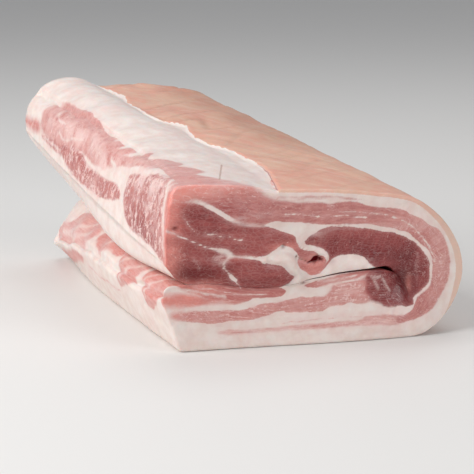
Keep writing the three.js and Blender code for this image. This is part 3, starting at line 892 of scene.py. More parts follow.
@dataclass(frozen=True)
class Lattice:
    """Lines of the slab's grids, as shares: fine along the front cut, fewer on the other faces."""

    fine: tuple[int, ...] = (36, 60, 120, 84, 84, 144, 60)  # steps of the path's stretches on the front cut
    outer_skip: tuple[int, ...] = (2, 2, 3, 4, 4, 8, 4)  # every how many-th line the skin side keeps
    inner_skip: tuple[int, ...] = (3, 12, 12, 6, 6, 6, 3)
    depth_steps: int = 156
    depth_growth: float = 1.2  # natural logarithm of last step over first
    thickness_lines: int = 42
    edge_lines: tuple[float, ...] = (0, 0.006, 0.014, 0.024, 0.037)  # close lines for the rounded edges
    edge_share: float = 0.055  # where the even lines of the thickness start

    def path(self, skips: tuple[int, ...] | None = None) -> Array:
        """Shares of the path, with every n-th line of each stretch kept."""
        ends = (0, LIP, SKIN_EDGE, SHOULDER, FOLD, TOE, SHELF, 1)
        skips = skips or (1,) * len(self.fine)
        stretches = zip(ends[:-1], ends[1:], self.fine, skips)
        runs = [np.linspace(start, end, steps // skip + 1)[:-1] for start, end, steps, skip in stretches]
        return np.append(np.concatenate(runs), 1.0)

    def depth(self) -> Array:
        """Depths from 0 to 1, each step longer than the last by the same factor."""
        u = np.linspace(0, 1, self.depth_steps + 1)
        return np.expm1(self.depth_growth * u) / np.expm1(self.depth_growth)

    def thickness(self) -> Array:
        """Shares of the thickness, evenly spaced, with closer lines at both edges for their rounding."""
        edge = np.array(self.edge_lines)
        middle = np.linspace(self.edge_share, 1 - self.edge_share, self.thickness_lines)
        return np.concatenate((edge, middle, 1 - edge[::-1]))

    def sheet(
        self, first: Array, second: Array, flip: bool, start: Array | None, end: Array | None
    ) -> tuple[Array, Array, Array, Array]:
        """A grid of points in two shares, woven to finer rows at its start and end where they are given.

        Args:
            first: lines of the first share.
            second: lines of the second share; its ends belong to start and end where these are given.
            flip: whether the polygons are turned round.
            start, end: lines of the first share on the rows at the second share's two ends.

        Returns:
            Both shares of the points, the quads and the triangles.
        """
        inner = second[1 if start is not None else 0: -1 if end is not None else None]
        a, b = (g.ravel() for g in np.meshgrid(first, inner, indexing="ij"))
        index = np.arange(a.size).reshape(len(first), len(inner))
        corners = (index[:-1, :-1], index[1:, :-1], index[1:, 1:], index[:-1, 1:])
        quads = np.stack(corners, -1).reshape(-1, 4)
        triangles = np.zeros((0, 3), int)
        for row, place, edge in ((start, second[0], 0), (end, second[-1], -1)):
            if row is not None:
                points = np.arange(a.size, a.size + len(row))
                a, b = np.append(a, row), np.append(b, np.full(len(row), place))
                woven = weave(points, index[:, edge], row, first)
                triangles = np.vstack((triangles, woven if edge == 0 else woven[:, ::-1]))
        if flip:
            quads, triangles = quads[:, ::-1], triangles[:, ::-1]
        return a, b, quads, triangles

    def patches(self) -> list[Patch]:
        """The six faces, which share the points of their common edges."""
        fine, outer, inner = self.path(), self.path(self.outer_skip), self.path(self.inner_skip)
        far = np.unique(np.round(np.concatenate((outer, inner)), 12))
        depth, thick = self.depth(), self.thickness()
        built = []
        for face, share, flip, first, second, start, end in (
            (Face.OUTER, 0.0, False, outer, depth, fine, far),
            (Face.INNER, 1.0, True, inner, depth, fine, far),
            (Face.FRONT, 0.0, True, fine, thick, None, None),
            (Face.FAR, 1.0, False, far, thick, None, None),
            (Face.LONG, 0.0, True, thick, depth, None, None),
            (Face.FOOT, 1.0, False, thick, depth, None, None),
        ):
            a, b, quads, triangles = self.sheet(first, second, flip, start, end)
            held = np.full(a.size, share)
            if face in (Face.OUTER, Face.INNER):
                s, t, v = a, held, b
            elif face in (Face.FRONT, Face.FAR):
                s, t, v = a, b, held
            else:
                s, t, v = held, a, b
            built.append(Patch(face, s, t, v, quads, triangles))
        return built


@dataclass(frozen=True)
class Hide:
    """The skin and the trimmed strip beside it: cut edge, folds, relief and thickness, in mm."""

    edge_line: Ring = (
        (0, 62), (12, 63), (25, 65.5), (40, 68), (50, 68.5), (60, 66), (80, 62), (95, 57), (105, 50),
        (120, 45.5), (140, 45), (152, 46), (159, 38), (165, 31), (180, 28), (200, 27), (230, 25),
        (243, 27.5), (260, 22), (290, 17), (310, 14),
    )  # depth and X of the skin's cut edge
    edge_wander: Bumps = Bumps(61, 0.9, 9, 12, 2)
    step: float = 0.9  # how far the skin stands above the strip
    step_span: Range = (-0.6, 0.9)  # distances past the edge over which it rises
    bead: float = 0.2
    bead_span: Range = (1.4, 1.2)  # distance past the edge of its middle, and half width
    groove: float = 0.4
    groove_span: Range = (-1.6, 1.3)
    edge_until: Range = (0.2, 0.27)  # shares of the path over which the edge's relief ends
    folds_from: Range = (0.02, 0.3)  # shares of the depth over which folds and lobes start
    lobes_from: Range = (0.05, 0.2)
    fold_slant: float = 0.9  # depth gained per mm of X, across a fold
    fold_long: float = 150.0
    fold_wide: float = 30.0
    fold_rise: float = 2.6
    crease_depth: float = 0.9
    crease_at: Range = (0.82, 1.0)  # how near to a ridge of the noise a crease starts and is deepest
    far_depths: Range = (95, 170)  # depths over which the folds grow
    far_until: Range = (80, 120)  # X over which they end
    crease_shares: Range = (0.3, 0.8)  # strength of the creases, near and far
    fold_share: float = 0.22  # height of the near folds, as a share of the far ones
    line_slant: float = 0.74
    lines: Bumps = Bumps(72, 0.25, 6.5, 40, 2)
    swell: Bumps = Bumps(73, 0.4, 42, 26)
    grain: Bumps = Bumps(74, 0.12, 9, 5)
    uneven: Bumps = Bumps(75, 0.5, 20, 24)
    lobe_rise: float = 1.1
    lobe_pitch: float = 31.0
    thin: float = 1.9  # thickness on the top
    fold_more: float = 3.5  # what the fold adds to it
    toe_less: float = 6.0  # what is taken off below, where fat hides it

    def past_edge(self, x: Array, y: Array) -> Array:
        """Distance past the skin's cut edge along X, mm, negative on the trimmed strip."""
        line = np.asarray(self.edge_line)
        wander = self.edge_wander.at(y, x) * smoothstep(y, 4, 14)
        return x - np.interp(y, line[:, 0], line[:, 1]) + wander

    def folds(self, x: Array, y: Array) -> tuple[Array, Array]:
        """Slanting folds of the skin: smooth random waves, long one way and short the other.

        Args:
            x, y: place on the skin, mm.

        Returns:
            The folds' height in mm, and 0 to 1 for painted shade: how deep a place lies in a fold's crease,
            plus half its valley where the folds are full.
        """
        far = smoothstep(y, *self.far_depths) * (1 - smoothstep(x, *self.far_until))
        run = (x + self.fold_slant * y) / self.fold_long
        across = (y - self.fold_slant * x) / self.fold_wide
        waves = Grain(71, 2).at(across, run)
        crease = 1 - np.abs(Grain(76, 2).at(across * 1.5 + 9, run * 1.2))
        crease = smoothstep(crease, *self.crease_at) * mix(*self.crease_shares, far)
        lines = self.lines.at(y + self.line_slant * x, x - self.line_slant * y)
        height = self.fold_rise * waves * mix(self.fold_share, 1.0, far) - self.crease_depth * crease
        valley = smoothstep(-waves, 0.2, 0.8)
        return height + lines * (1 - 0.6 * far), np.clip(crease + 0.5 * valley * far, 0, 1)

    def relief(self, s: Array, v: Array, x: Array, y: Array) -> Array:
        """Rise of the skin side: the skin's step and bead, its folds and creases, and the strip's lobes.

        Args:
            s, v: shares of the path and of the depth.
            x, y: place on the skin side, mm.

        Returns:
            The rise in mm.
        """
        top = smoothstep(s, SKIN_EDGE - 0.03, SKIN_EDGE + 0.02) * (1 - smoothstep(s, SHOULDER - 0.04, FOLD))
        past = self.past_edge(x, y)
        at_edge = 1 - smoothstep(s, *self.edge_until)
        step = self.step * smoothstep(past, *self.step_span) + self.bead * bell(past, *self.bead_span)
        step = step * at_edge
        groove = -self.groove * bell(past, *self.groove_span) * at_edge
        folds = self.folds(x, y)[0] * top * smoothstep(v, *self.folds_from)
        hide = top * (self.swell.at(x, y) + self.grain.at(x, y))
        lobes = self.lobe_rise * np.sin(np.pi * y / self.lobe_pitch) ** 2
        strip = lobes * (1 - smoothstep(s, 0.02, SKIN_EDGE)) * smoothstep(v, *self.lobes_from)
        uneven = self.uneven.at(x, y) * (1 - smoothstep(s, FOLD, TOE))
        return step + groove + folds + hide + strip + uneven

    def thickness(self, s: Array) -> Array:
        """Thickness of the cut skin, mm: thin on top, thicker round the fold, and hidden by fat below."""
        below = smoothstep(s, FOLD + 0.03, TOE - 0.02)
        return self.thin + self.fold_more * bell(s, FOLD - 0.01, 0.12) - self.toe_less * below

    def rind_share(self, s: Array) -> Array:
        """How grey the cut skin is: least on top, most round the fold."""
        return 0.35 + 0.65 * smoothstep(s, SHOULDER - 0.05, FOLD)


@dataclass(frozen=True)
class FaceTissue:
    """What each face of the slab shows: masks of skin, fat and lean at the face's points."""

    form: Form
    hide: Hide
    curled: Range = (42, 64)  # depths in mm over which the skin's curled edge gives way to a white rim
    bead: float = 0.9  # mm, how far the white rim reaches under the skin's edge
    curled_bead: float = 0.2
    bead_wander: Bumps = Bumps(64, 1, 6, 12)
    salmon_end: Range = (148, 6)  # X in mm of the salmon spot at the skin's front end, and its half width
    # painted shade darkens the rear skin from here on
    shade_path: Range = (0.24, 0.34)  # share of the path and depth in mm from which the rear skin is shaded
    shade_depth: Range = (80, 150)
    flush: Range = (3, 26)  # depths in mm over which the pink of the skin's front end fades
    foot_skin: float = 1.2  # mm of skin at the foot's lower edge
    slit_tone: float = 0.75
    slit_warm: float = 0.3
    far_sheets: tuple[tuple[float, ...], ...] = (
        (0.3, 0.075, 0.075, 0.2, 0.35), (0.47, 0.02, 0.02, 0.25, 0.5), (0.68, 0.17, 0.1, 0.6, 0.3),
    )  # middle, half width on top and below, all as shares of the thickness, then tone and marbling

    def masks(self, patch: Patch, point: Array) -> dict[str, Array]:
        """Masks over one face.

        Args:
            patch: the face.
            point: its points, rows of mm.

        Returns:
            The masks by name: lean, skin and cut in mm past their border, the rest from 0 to 1.
        """
        found = {name: np.zeros(patch.s.shape) for name in MASKS}
        for name, level in (("skin", -FAR_OFF), ("lean", -FAR_OFF), ("cut", FAR_OFF)):
            found[name] += level
        show = {
            Face.FRONT: self.front, Face.LONG: self.long_side, Face.FOOT: self.foot,
            Face.OUTER: self.outer, Face.INNER: self.inner, Face.FAR: self.far,
        }
        show[patch.face](patch, point, self.form.section.at(patch.v), found)
        return found

    def front(self, patch: Patch, point: Array, m: Measures, found: Measures) -> None:
        """Front cut: its muscles, and the cut skin round them."""
        found.update(FRONT_PATTERN.tissue(point[:, 0], point[:, 2]))
        self.cut_skin(patch, m, found)

    def cut_skin(self, patch: Patch, m: Measures, found: Measures) -> None:
        """Skin round a cut: its depth past the skin's inner border, and how grey it is."""
        s = patch.s
        under = patch.t * self.form.sides(s, m, patch.v)[-1]
        there = smoothstep(s, SKIN_EDGE - 0.006, SKIN_EDGE + 0.001)
        found["skin"] = mix(-FAR_OFF, self.hide.thickness(s) - under, there)
        found["rind"] = self.hide.rind_share(s)

    def long_side(self, patch: Patch, point: Array, m: Measures, found: Measures) -> None:
        """Long cut side of the upper flap, measured down from its ridge."""
        down = patch.t * from_corner(*corner(m, "cap_corner"), m, "lip")
        found.update(SIDE_PATTERN.tissue(point[:, 1], down))

    def foot(self, patch: Patch, point: Array, m: Measures, found: Measures) -> None:
        """Cut side of the lower flap, measured down from the shelf's edge, with skin along its heel."""
        height = (1 - patch.t) * from_corner(*corner(m, "heel"), m, "shelf")
        found.update(FOOT_PATTERN.tissue(point[:, 1], height))
        found["skin"] = self.foot_skin - patch.t * self.form.sides(patch.s, m, patch.v)[-1]
        found["rind"] = np.ones(patch.s.shape)

    def outer(self, patch: Patch, point: Array, m: Measures, found: Measures) -> None:
        """Skin side: the strip carries on the long side's pattern, and skin lies past the cut edge."""
        s = patch.s
        x, y, z = point.T
        strip = s < SKIN_EDGE + 0.03
        from_ridge = -from_corner(x, z, m, "cap_corner")
        for name, mask in SIDE_PATTERN.tissue(y[strip], from_ridge[strip]).items():
            found[name][strip] = mask
        past = self.hide.past_edge(x, y)
        on_top = s < FOLD
        not_folded = 1 - smoothstep(s, SHOULDER, FOLD)
        curl = 1 - smoothstep(y, *self.curled)
        bead = self.bead + self.bead_wander.at(y, x)
        found["skin"] = np.where(on_top, np.clip(past - mix(bead, self.curled_bead, curl), -5, 5), 5.0)
        found["rim"] = (1 - curl) * on_top
        found["curl"] = curl * on_top
        salmon = 0.9 * bell(x, *self.salmon_end) * (1 - smoothstep(y, 1, 6))
        found["warm"] = np.maximum(found["warm"], salmon)
        # painted shade: on the rear skin, and in the folds' creases and valleys
        shaded = smoothstep(s, *self.shade_path) * smoothstep(y, *self.shade_depth) * not_folded
        folded = self.hide.folds(x, y)[1] * smoothstep(past, 1, 8) * not_folded
        found["crease"] = np.maximum(folded, shaded)
        near = 1 - smoothstep(y, *self.flush)
        blush = np.clip(0.35 + Bumps(63, 0.5, 22, 16).at(x, y) + 0.35 * near, 0, 1)
        found["blush"] = blush * (1 - 0.8 * (s > TOE))

    def inner(self, patch: Patch, point: Array, m: Measures, found: Measures) -> None:
        """Flesh side: the shelf carries on the foot's pattern, and dark lean with painted shade lies in the
        slit.
        """
        s = patch.s
        x, y, z = point.T
        shelf = s > SHELF
        from_edge = -from_corner(x, z, m, "shelf")
        for name, mask in FOOT_PATTERN.tissue(y[shelf], from_edge[shelf]).items():
            found[name][shelf] = mask
        slit = (s > LIP) & (s < SHELF)
        for name, level in (("lean", 2.0), ("tone", self.slit_tone), ("warm", self.slit_warm)):
            found[name] = np.where(slit, level, found[name])
        # painted shade, deeper in the slit
        deep = smoothstep(np.minimum(s - LIP, SHELF - s), 0.002, 0.03)
        found["dark"] = np.maximum(found["dark"], 0.35 * deep)
        found["blush"] = 0.25 * (s < LIP)

    def far(self, patch: Patch, point: Array, m: Measures, found: Measures) -> None:
        """Far cut: three sheets of lean between fat, as bands at a wandering depth under the skin."""
        s, x, z = patch.s, point[:, 0], point[:, 2]
        thick = self.form.sides(s, m, patch.v)[-1]
        outer = patch.t * thick
        whole = outer + (1 - patch.t) * thick
        wander, ragged = Grain(41, 2), Grain(42)
        along = 60 * s
        depth = outer + 1.2 * wander.at(along / 7, 0 * s + 3) + 0.4 * ragged.at(x / 6, z / 6)
        for k, (centre, half_top, half_low, tone, flecks) in enumerate(self.far_sheets):
            middle = (centre + 0.03 * wander.at(along / 9, 0 * s + 7 * k)) * whole
            half = mix(half_top, half_low, smoothstep(s, FOLD, TOE))
            width = half * whole * (1 + 0.55 * wander.at(along / 5, 0 * s + 11 * k + 2))
            ends = smoothstep(s, 0.01 + 0.03 * k, 0.1 + 0.03 * k) * smoothstep(1 - s, 0.01, 0.06 + 0.02 * k)
            band = width * ends - np.abs(depth - middle) - 2 * (1 - ends)
            for name, level in (("tone", tone), ("marble", flecks)):
                found[name] = np.where(band > found["lean"], level, found[name])
            found["lean"] = np.maximum(found["lean"], band)
        for name, level in (("warm", 0.1), ("across", 0.4), ("soft", 0.15)):
            found[name] += level
        found["haze"] = 0.25 + 0.5 * ragged.at(x / 17, z / 9)
        self.cut_skin(patch, m, found)


@dataclass(frozen=True)
class BellySlab:
    """The slab as one closed mesh: its form, and the relief of its faces. Lengths are in mm."""

    form: Form = field(default_factory=Form)
    hide: Hide = field(default_factory=Hide)
    lattice: Lattice = field(default_factory=Lattice)
    front_reach: float = 0.08  # depth over which the front cut's relief dies away
    far_reach: Range = (0.93, 1.0)  # depths over which the far cut's relief grows
    skin_round: float = 2.0
    flesh_round: float = 0.6
    slit_round: float = 0.15  # where the flaps touch
    far_round: float = 3.0
    ridge_round: Range = (6.0, 1.6)  # upper flap: at the strip and at the lip
    foot_round: Range = (2.2, 3.5)  # lower flap: at its skin and at the shelf
    slit_shut: Range = (0.33, 0.43)  # shares of the slit over which it starts to gape
    slit_end: Range = (0.7, 0.78)  # and over which it shuts again
    upper_run: Range = (396, 272)  # mm of path to a share near its start, at the skin and at the flesh side
    lower_run: Range = (500, 204)  # and near its end
    fibre_run: Range = (430, 45)  # mm to a share of the path and of the thickness, along the fibres
    side_fibres: Range = (0.25, 0.3)  # long cut side: the fibres' slant, and their measure across per mm
    side_reach: float = 0.03  # shares of the path over which the left faces' relief dies away
    foot_reach: float = 0.975
    rib_rise: float = 1.4
    rib_pitch: float = 46.0
    rib_slant: float = 0.9
    rib_start: float = 8.0
    lip_waves: Bumps = Bumps(81, 0.5, 18, 8)
    far_waves: tuple[Bumps, Bumps] = (Bumps(91, 0.8, 14, 9), Bumps(92, 1.2, 40, 30))

    def flesh_relief(self, s: Array, x: Array, z: Array, y: Array, m: Measures) -> Array:
        """Rise of the flesh side: the rib ends on the shelf and slight waves of the membrane."""
        from_edge = -from_corner(x, z, m, "shelf")
        on_shelf = smoothstep(s, SHELF + 0.012, SHELF + 0.03)
        shelf = np.where(s > SHELF, FOOT_PATTERN.relief(y, from_edge), 0) * on_shelf
        turns = (y - self.rib_start - self.rib_slant * x) / self.rib_pitch
        ribs = self.rib_rise * np.cos(2 * np.pi * turns) * smoothstep(s, SHELF + 0.015, SHELF + 0.04)
        lip = self.lip_waves.at(y, x) * (1 - smoothstep(s, 0.01, LIP))
        return shelf + ribs + lip

    def front_edge(self, s: Array, t: Array, thick: Array) -> tuple[Array, Array]:
        """Distance from the front cut's outline, mm, and the radius that its edge is rounded to."""
        ends = np.minimum(s * mix(*self.upper_run, t), (1 - s) * mix(*self.lower_run, t))
        in_slit = (s > LIP) * (s < SHELF)
        share = self.form.slit_share(s)
        closed = (1 - smoothstep(share, *self.slit_shut) + smoothstep(share, *self.slit_end)) * in_slit
        radius = np.where(t > 0.5, mix(self.flesh_round, self.slit_round, closed), self.skin_round)
        return np.minimum(np.minimum(t, 1 - t) * thick, ends), radius

    def place(self, s: Array, t: Array, v: Array) -> Array:
        """Points of the slab in mm, as rows.

        The skin side and the flesh side of the section are each moved out by their relief, and the point
        lies at its share of the way between them. The cut faces then get their own relief: the front cut
        along -Y, the long cut side and the foot along -X, each with its edges rounded off.

        Args:
            s, t, v: flat arrays of the shares of path, thickness and depth.

        Returns:
            Rows of x, y, z.
        """
        f = self.form
        m = f.section.at(v)
        ox, oz, ix, iz, thick = f.sides(s, m, v)
        nx, nz = (ox - ix) / thick, (oz - iz) / thick
        up = self.hide.relief(s, v, ox, f.along(ox, oz, v))
        down = self.flesh_relief(s, ix, iz, f.along(ix, iz, v), m)
        ox, oz, ix, iz = ox + nx * up, oz + nz * up, ix - nx * down, iz - nz * down
        x, z = mix(ox, ix, t), mix(oz, iz, t)
        x = x - f.cut_swell * np.sin(np.pi * t) * (1 - smoothstep(s, 0, 0.08))
        y = f.along(x, z, v)
        x = x + self.side_relief(s, t, y, thick, m)
        return np.stack((x, y + self.cut_relief(s, t, v, x, z, thick), z), -1)

    def side_relief(self, s: Array, t: Array, y: Array, thick: Array, m: Measures) -> Array:
        """Move along X of the two left faces: minus their tissue's rise, plus their edges' rounding."""
        edge = np.minimum(t, 1 - t) * thick
        upper, lower = 1 - smoothstep(s, 0, self.side_reach), smoothstep(s, self.foot_reach, 1)
        down = t * from_corner(*corner(m, "cap_corner"), m, "lip")
        height = (1 - t) * from_corner(*corner(m, "heel"), m, "shelf")
        rise = np.zeros(s.shape)
        for pattern, share, measure in ((SIDE_PATTERN, upper, down), (FOOT_PATTERN, lower, height)):
            on = share > 0
            rise[on] = pattern.relief(y[on], measure[on])
        ridge, foot = (np.where(t < 0.5, *radii) for radii in (self.ridge_round, self.foot_round))
        return (rounding(edge, ridge) - rise) * upper + (rounding(edge, foot) - rise) * lower

    def cut_relief(self, s: Array, t: Array, v: Array, x: Array, z: Array, thick: Array) -> Array:
        """Move along Y: the front cut's tissue stands out towards -Y, and both cuts' edges are rounded."""
        edge, radius = self.front_edge(s, t, thick)
        fade = 1 - smoothstep(v, 0, self.front_reach)
        near = fade > 0
        rise = np.zeros(s.shape)
        rise[near] = FRONT_PATTERN.relief(x[near], z[near])
        waves = self.far_waves[0].at(x, z) + self.far_waves[1].at(x, z)
        far = smoothstep(v, *self.far_reach)
        return (rounding(edge, radius) - rise) * fade - (rounding(edge, self.far_round) - waves) * far

    def sheet_place(self, patch: Patch, point: Array) -> Array:
        """Place of a face's points in the texture sheet: its two shares, or x and z on the two cuts."""
        low_u, low_v, high_u, high_v = patch.face.value
        if patch.face in (Face.FRONT, Face.FAR):
            flat = point[:, [0, 2]]
            a, b = ((flat - flat.min(0)) / np.ptp(flat, axis=0)).T
        elif patch.face in (Face.OUTER, Face.INNER):
            a, b = patch.s, patch.v
        else:
            a, b = patch.t, patch.v
        return np.stack((mix(low_u, high_u, a), mix(low_v, high_v, b)), -1)

    def flow(self, patch: Patch, point: Array) -> Array:
        """Measures along and across the fibres, in mm, as rows of along, across, depth."""
        x, y, z = point.T
        if patch.face in (Face.FRONT, Face.FAR):
            along, across = self.fibre_run
            return np.stack((along * patch.s, across * patch.t, y), -1)
        if patch.face is Face.LONG:
            slant, across = self.side_fibres
            return np.stack((z + slant * y, across * y, x), -1)
        if patch.face is Face.OUTER:
            return np.stack((x, y, z), -1)
        return np.stack((y, x + z, z), -1)

    def build(self) -> bpy.types.Object:
        """The slab's mesh, welded from its six faces, with its masks and its sheet of texture places."""
        patches = self.lattice.patches()
        tissue = FaceTissue(self.form, self.hide)
        shares = np.concatenate([np.stack((p.s, p.t, p.v), -1) for p in patches])
        unique, index = np.unique(np.round(shares, 9), axis=0, return_inverse=True)
        index = index.ravel()
        points = self.place(*unique.T)
        start, corners, sizes, sheet = 0, [], [], []
        masks: dict[str, list[Array]] = {name: [] for name in (*MASKS, "flow")}
        for patch in patches:
            ids = index[start: start + patch.s.size]
            start += patch.s.size
            local = np.concatenate((patch.quads.ravel(), patch.triangles.ravel()))
            corners.append(ids[local])
            sizes.append(np.repeat((4, 3), (len(patch.quads), len(patch.triangles))))
            point = points[ids]
            found = tissue.masks(patch, point)
            for name in MASKS:
                masks[name].append(found[name][local])
            masks["flow"].append(self.flow(patch, point)[local])
            sheet.append(self.sheet_place(patch, point)[local])
        placed = (points - np.array((*BASE_CENTRE, 0))) * MM
        mesh = closed_mesh("belly_slab", placed, np.concatenate(corners), np.concatenate(sizes))
        for name in MASKS:
            layer = mesh.attributes.new(name, "FLOAT", "CORNER")
            layer.data.foreach_set("value", np.concatenate(masks[name]).astype(np.float32))
        layer = mesh.attributes.new("flow", "FLOAT_VECTOR", "CORNER")
        layer.data.foreach_set("vector", np.concatenate(masks["flow"]).astype(np.float32).ravel())
        places = mesh.uv_layers.new(name="OFBake")
        places.data.foreach_set("uv", np.concatenate(sheet).astype(np.float32).ravel())
        slab = bpy.data.objects.new("belly_slab", mesh)
        bpy.context.scene.collection.objects.link(slab)
        return slab


def closed_mesh(name: str, points: Array, corners: Array, sizes: Array) -> bpy.types.Mesh:
    """A smooth mesh from arrays.

    Args:
        name: the mesh's name.
        points: rows of x, y, z in metres.
        corners: every polygon's point indices, one polygon after another.
        sizes: how many corners each polygon has.

    Returns:
        The mesh.
    """
    mesh = bpy.data.meshes.new(name)
    mesh.vertices.add(len(points))
    mesh.vertices.foreach_set("co", points.astype(np.float32).ravel())
    mesh.loops.add(len(corners))
    mesh.loops.foreach_set("vertex_index", corners.astype(np.int32))
    mesh.polygons.add(len(sizes))
    mesh.polygons.foreach_set("loop_start", np.concatenate(([0], np.cumsum(sizes)[:-1])).astype(np.int32))
    mesh.polygons.foreach_set("use_smooth", np.ones(len(sizes), bool))
    mesh.update(calc_edges=True)
    return mesh


def ink(red: float, green: float, blue: float) -> Colour:
    """A screen colour, 0 to 255, as the linear colour that shaders take."""
    parts = [c / 255 for c in (red, green, blue)]
    return (*(c / 12.92 if c <= 0.04045 else ((c + 0.055) / 1.055) ** 2.4 for c in parts), 1.0)


class Bench:
    """Shorthand for the nodes of one material."""

    def __init__(self, name: str) -> None:
        """Starts an empty node tree."""
        self.material = bpy.data.materials.new(name)
        self.material.use_nodes = True
        self.tree = self.material.node_tree
        self.tree.nodes.clear()

    def node(self, kind: str, inputs: dict | None = None, **settings: object) -> bpy.types.Node:
        """Adds a node, sets its properties, and links or sets its inputs by name or number."""
        node = self.tree.nodes.new(kind)
        for key, value in settings.items():
            setattr(node, key, value)
        for key, value in (inputs or {}).items():
            if isinstance(value, Socket):
                self.tree.links.new(value, node.inputs[key])
            else:
                node.inputs[key].default_value = value
        return node

    def mask(self, name: str) -> Socket:
        """A float attribute of the mesh."""
        return self.node("ShaderNodeAttribute", attribute_name=name).outputs["Fac"]

    def vector(self, source: Socket, scale: Triple) -> Socket:
        """A vector with each part scaled."""
        return self.node("ShaderNodeMapping", {"Vector": source, "Scale": scale}).outputs["Vector"]

    def turned(self, source: Socket, turn: float, lengths: Triple) -> Socket:
        """A vector measured along axes turned about Z, in units of the given lengths."""
        inputs = {"Vector": source, "Rotation": (0, 0, turn), "Scale": lengths}
        return self.node("ShaderNodeMapping", inputs, vector_type="TEXTURE").outputs["Vector"]

    def noise(
        self, where: Socket, scale: float, detail: float = 3, rough: float = 0.55, bend: float = 0.0
    ) -> Socket:
        """Smooth noise around 0.5."""
        inputs = {"Vector": where, "Scale": scale, "Detail": detail, "Roughness": rough, "Distortion": bend}
        return self.node("ShaderNodeTexNoise", inputs).outputs["Fac"]

    def cells(self, where: Socket, feature: str = "DISTANCE_TO_EDGE") -> Socket:
        """Distance field of a mosaic of random cells, one unit wide."""
        inputs = {"Vector": where, "Scale": 1.0}
        return self.node("ShaderNodeTexVoronoi", inputs, feature=feature).outputs["Distance"]

    def centred(self, value: Socket, gain: float = 1.0) -> Socket:
        """A noise around 0.5 as one around 0, times a gain."""
        return self.times(self.math("SUBTRACT", value, 0.5), gain)

    def rest(self, share: Socket) -> Socket:
        """What a share leaves of 1."""
        return self.math("SUBTRACT", 1.0, share)

    def line(self, value: Socket, half: float) -> Socket:
        """1 on the thin lines where a noise crosses 0.5, and 0 at half above and below it."""
        return self.ramp(self.math("ABSOLUTE", self.centred(value)), 0.0, half, 1.0, 0.0)

    def math(self, operation: str, a: object, b: object = 0.0, clamp: bool = False) -> Socket:
        """One sum on two values or sockets."""
        return self.node("ShaderNodeMath", {0: a, 1: b}, operation=operation, use_clamp=clamp).outputs[0]

    def add(self, a: object, b: object) -> Socket:
        """The sum of two values."""
        return self.math("ADD", a, b)

    def times(self, a: object, b: object) -> Socket:
        """The product of two values."""
        return self.math("MULTIPLY", a, b)

    def ramp(
        self, value: object, low: float, high: float, to_low: float = 0.0, to_high: float = 1.0
    ) -> Socket:
        """Carries low..high to to_low..to_high with an S curve, held at both ends."""
        inputs = {"Value": value, "From Min": low, "From Max": high, "To Min": to_low, "To Max": to_high}
        return self.node("ShaderNodeMapRange", inputs, interpolation_type="SMOOTHSTEP").outputs["Result"]

    def blend(self, share: object, a: object, b: object, kind: str = "MIX") -> Socket:
        """Colour a with b laid over it by its share."""
        inputs = {"Factor": share, 6: a, 7: b}
        return self.node("ShaderNodeMix", inputs, data_type="RGBA", blend_type=kind).outputs[2]

    def scale(self, value: object, stops: tuple[tuple[float, tuple], ...]) -> Socket:
        """A colour ramp with the given stops."""
        node = self.node("ShaderNodeValToRGB", {"Fac": value})
        band = node.color_ramp
        while len(band.elements) < len(stops):
            band.elements.new(0.5)
        for element, (at, colour) in zip(band.elements, stops):
            element.position, element.color = at, colour
        return node.outputs["Color"]


@dataclass(frozen=True)
class CutMeat:
    """Finish of the slab: skin, fat and lean, mixed by the mesh's masks."""

    fat: Colour = ink(231, 218, 211)
    fat_shade: Colour = ink(224, 204, 196)
    fat_pink: Colour = ink(224, 186, 180)
    fat_white: Colour = ink(236, 227, 219)
    seam: Colour = ink(206, 172, 166)
    lean_stops: tuple = (
        (0.0, ink(222, 178, 171)),
        (0.25, ink(193, 127, 121)),
        (0.5, ink(160, 80, 77)),
        (0.75, ink(124, 43, 44)),
        (1.0, ink(86, 18, 22)),
    )
    salmon: Colour = ink(230, 144, 132)
    flecks: Colour = ink(234, 205, 199)
    # deep red laid over the dark mask: painted shade in gaps and pits, and a deeper red of the lean in
    # places
    blood: Colour = ink(88, 14, 20)
    skin: Colour = ink(216, 172, 148)
    skin_pink: Colour = ink(216, 158, 138)
    # painted highlight on the ridges of the fine lines
    skin_pale: Colour = ink(226, 198, 178)
    # painted shade: in the hollows of the fine lines, in the creases, on the rear skin and in the nicks
    skin_shade: Colour = ink(160, 112, 88)
    rind: Colour = ink(220, 188, 172)
    curl: Colour = ink(224, 166, 144)
    # red painted shadow in the groove beside the curled lip
    raw: Colour = ink(164, 58, 46)
    cloud_scale: float = 0.035  # bumps of the noise per mm, for clouds, blotches, grain and specks
    blotch_scale: float = 0.12
    grain_scale: float = 0.9
    speck_scale: float = 2.2
    border: float = 0.3  # mm, half width of the change from lean to fat where it is sharpest
    fade: float = 3.2  # mm, what the softest borders add to that
    wrinkle_turn: float = math.radians(-36.5)  # direction of the skin's fine lines
    wrinkle_lengths: Triple = (30, 5, 20)  # mm, along them, across and deep
    halo: float = 4.0  # mm, how far lean shows pink through the fat beside it
    smear: float = 0.85  # how far smeared fat hides the lean
    fleck: float = 0.75
    blush: float = 0.4
    # share of painted shade in the creases and on the rear skin
    crease: float = 0.4
    curled_lip: float = 0.9
    raw_gap: float = 0.7
    gloss: float = 0.3
    coat: float = 0.14
    coat_rough: float = 0.22
    rough: float = 0.4
    bump: float = 0.55
    bump_depth: float = 0.0007  # m
    glow: float = 0.22  # share of light that passes through the surface
    glow_colours: Triple = (1.0, 0.35, 0.22)  # how far red, green and blue pass
    glow_depth: float = 0.004  # m

    def material(self) -> bpy.types.Material:
        """Builds the shader."""
        return MeatNodes(self).build()


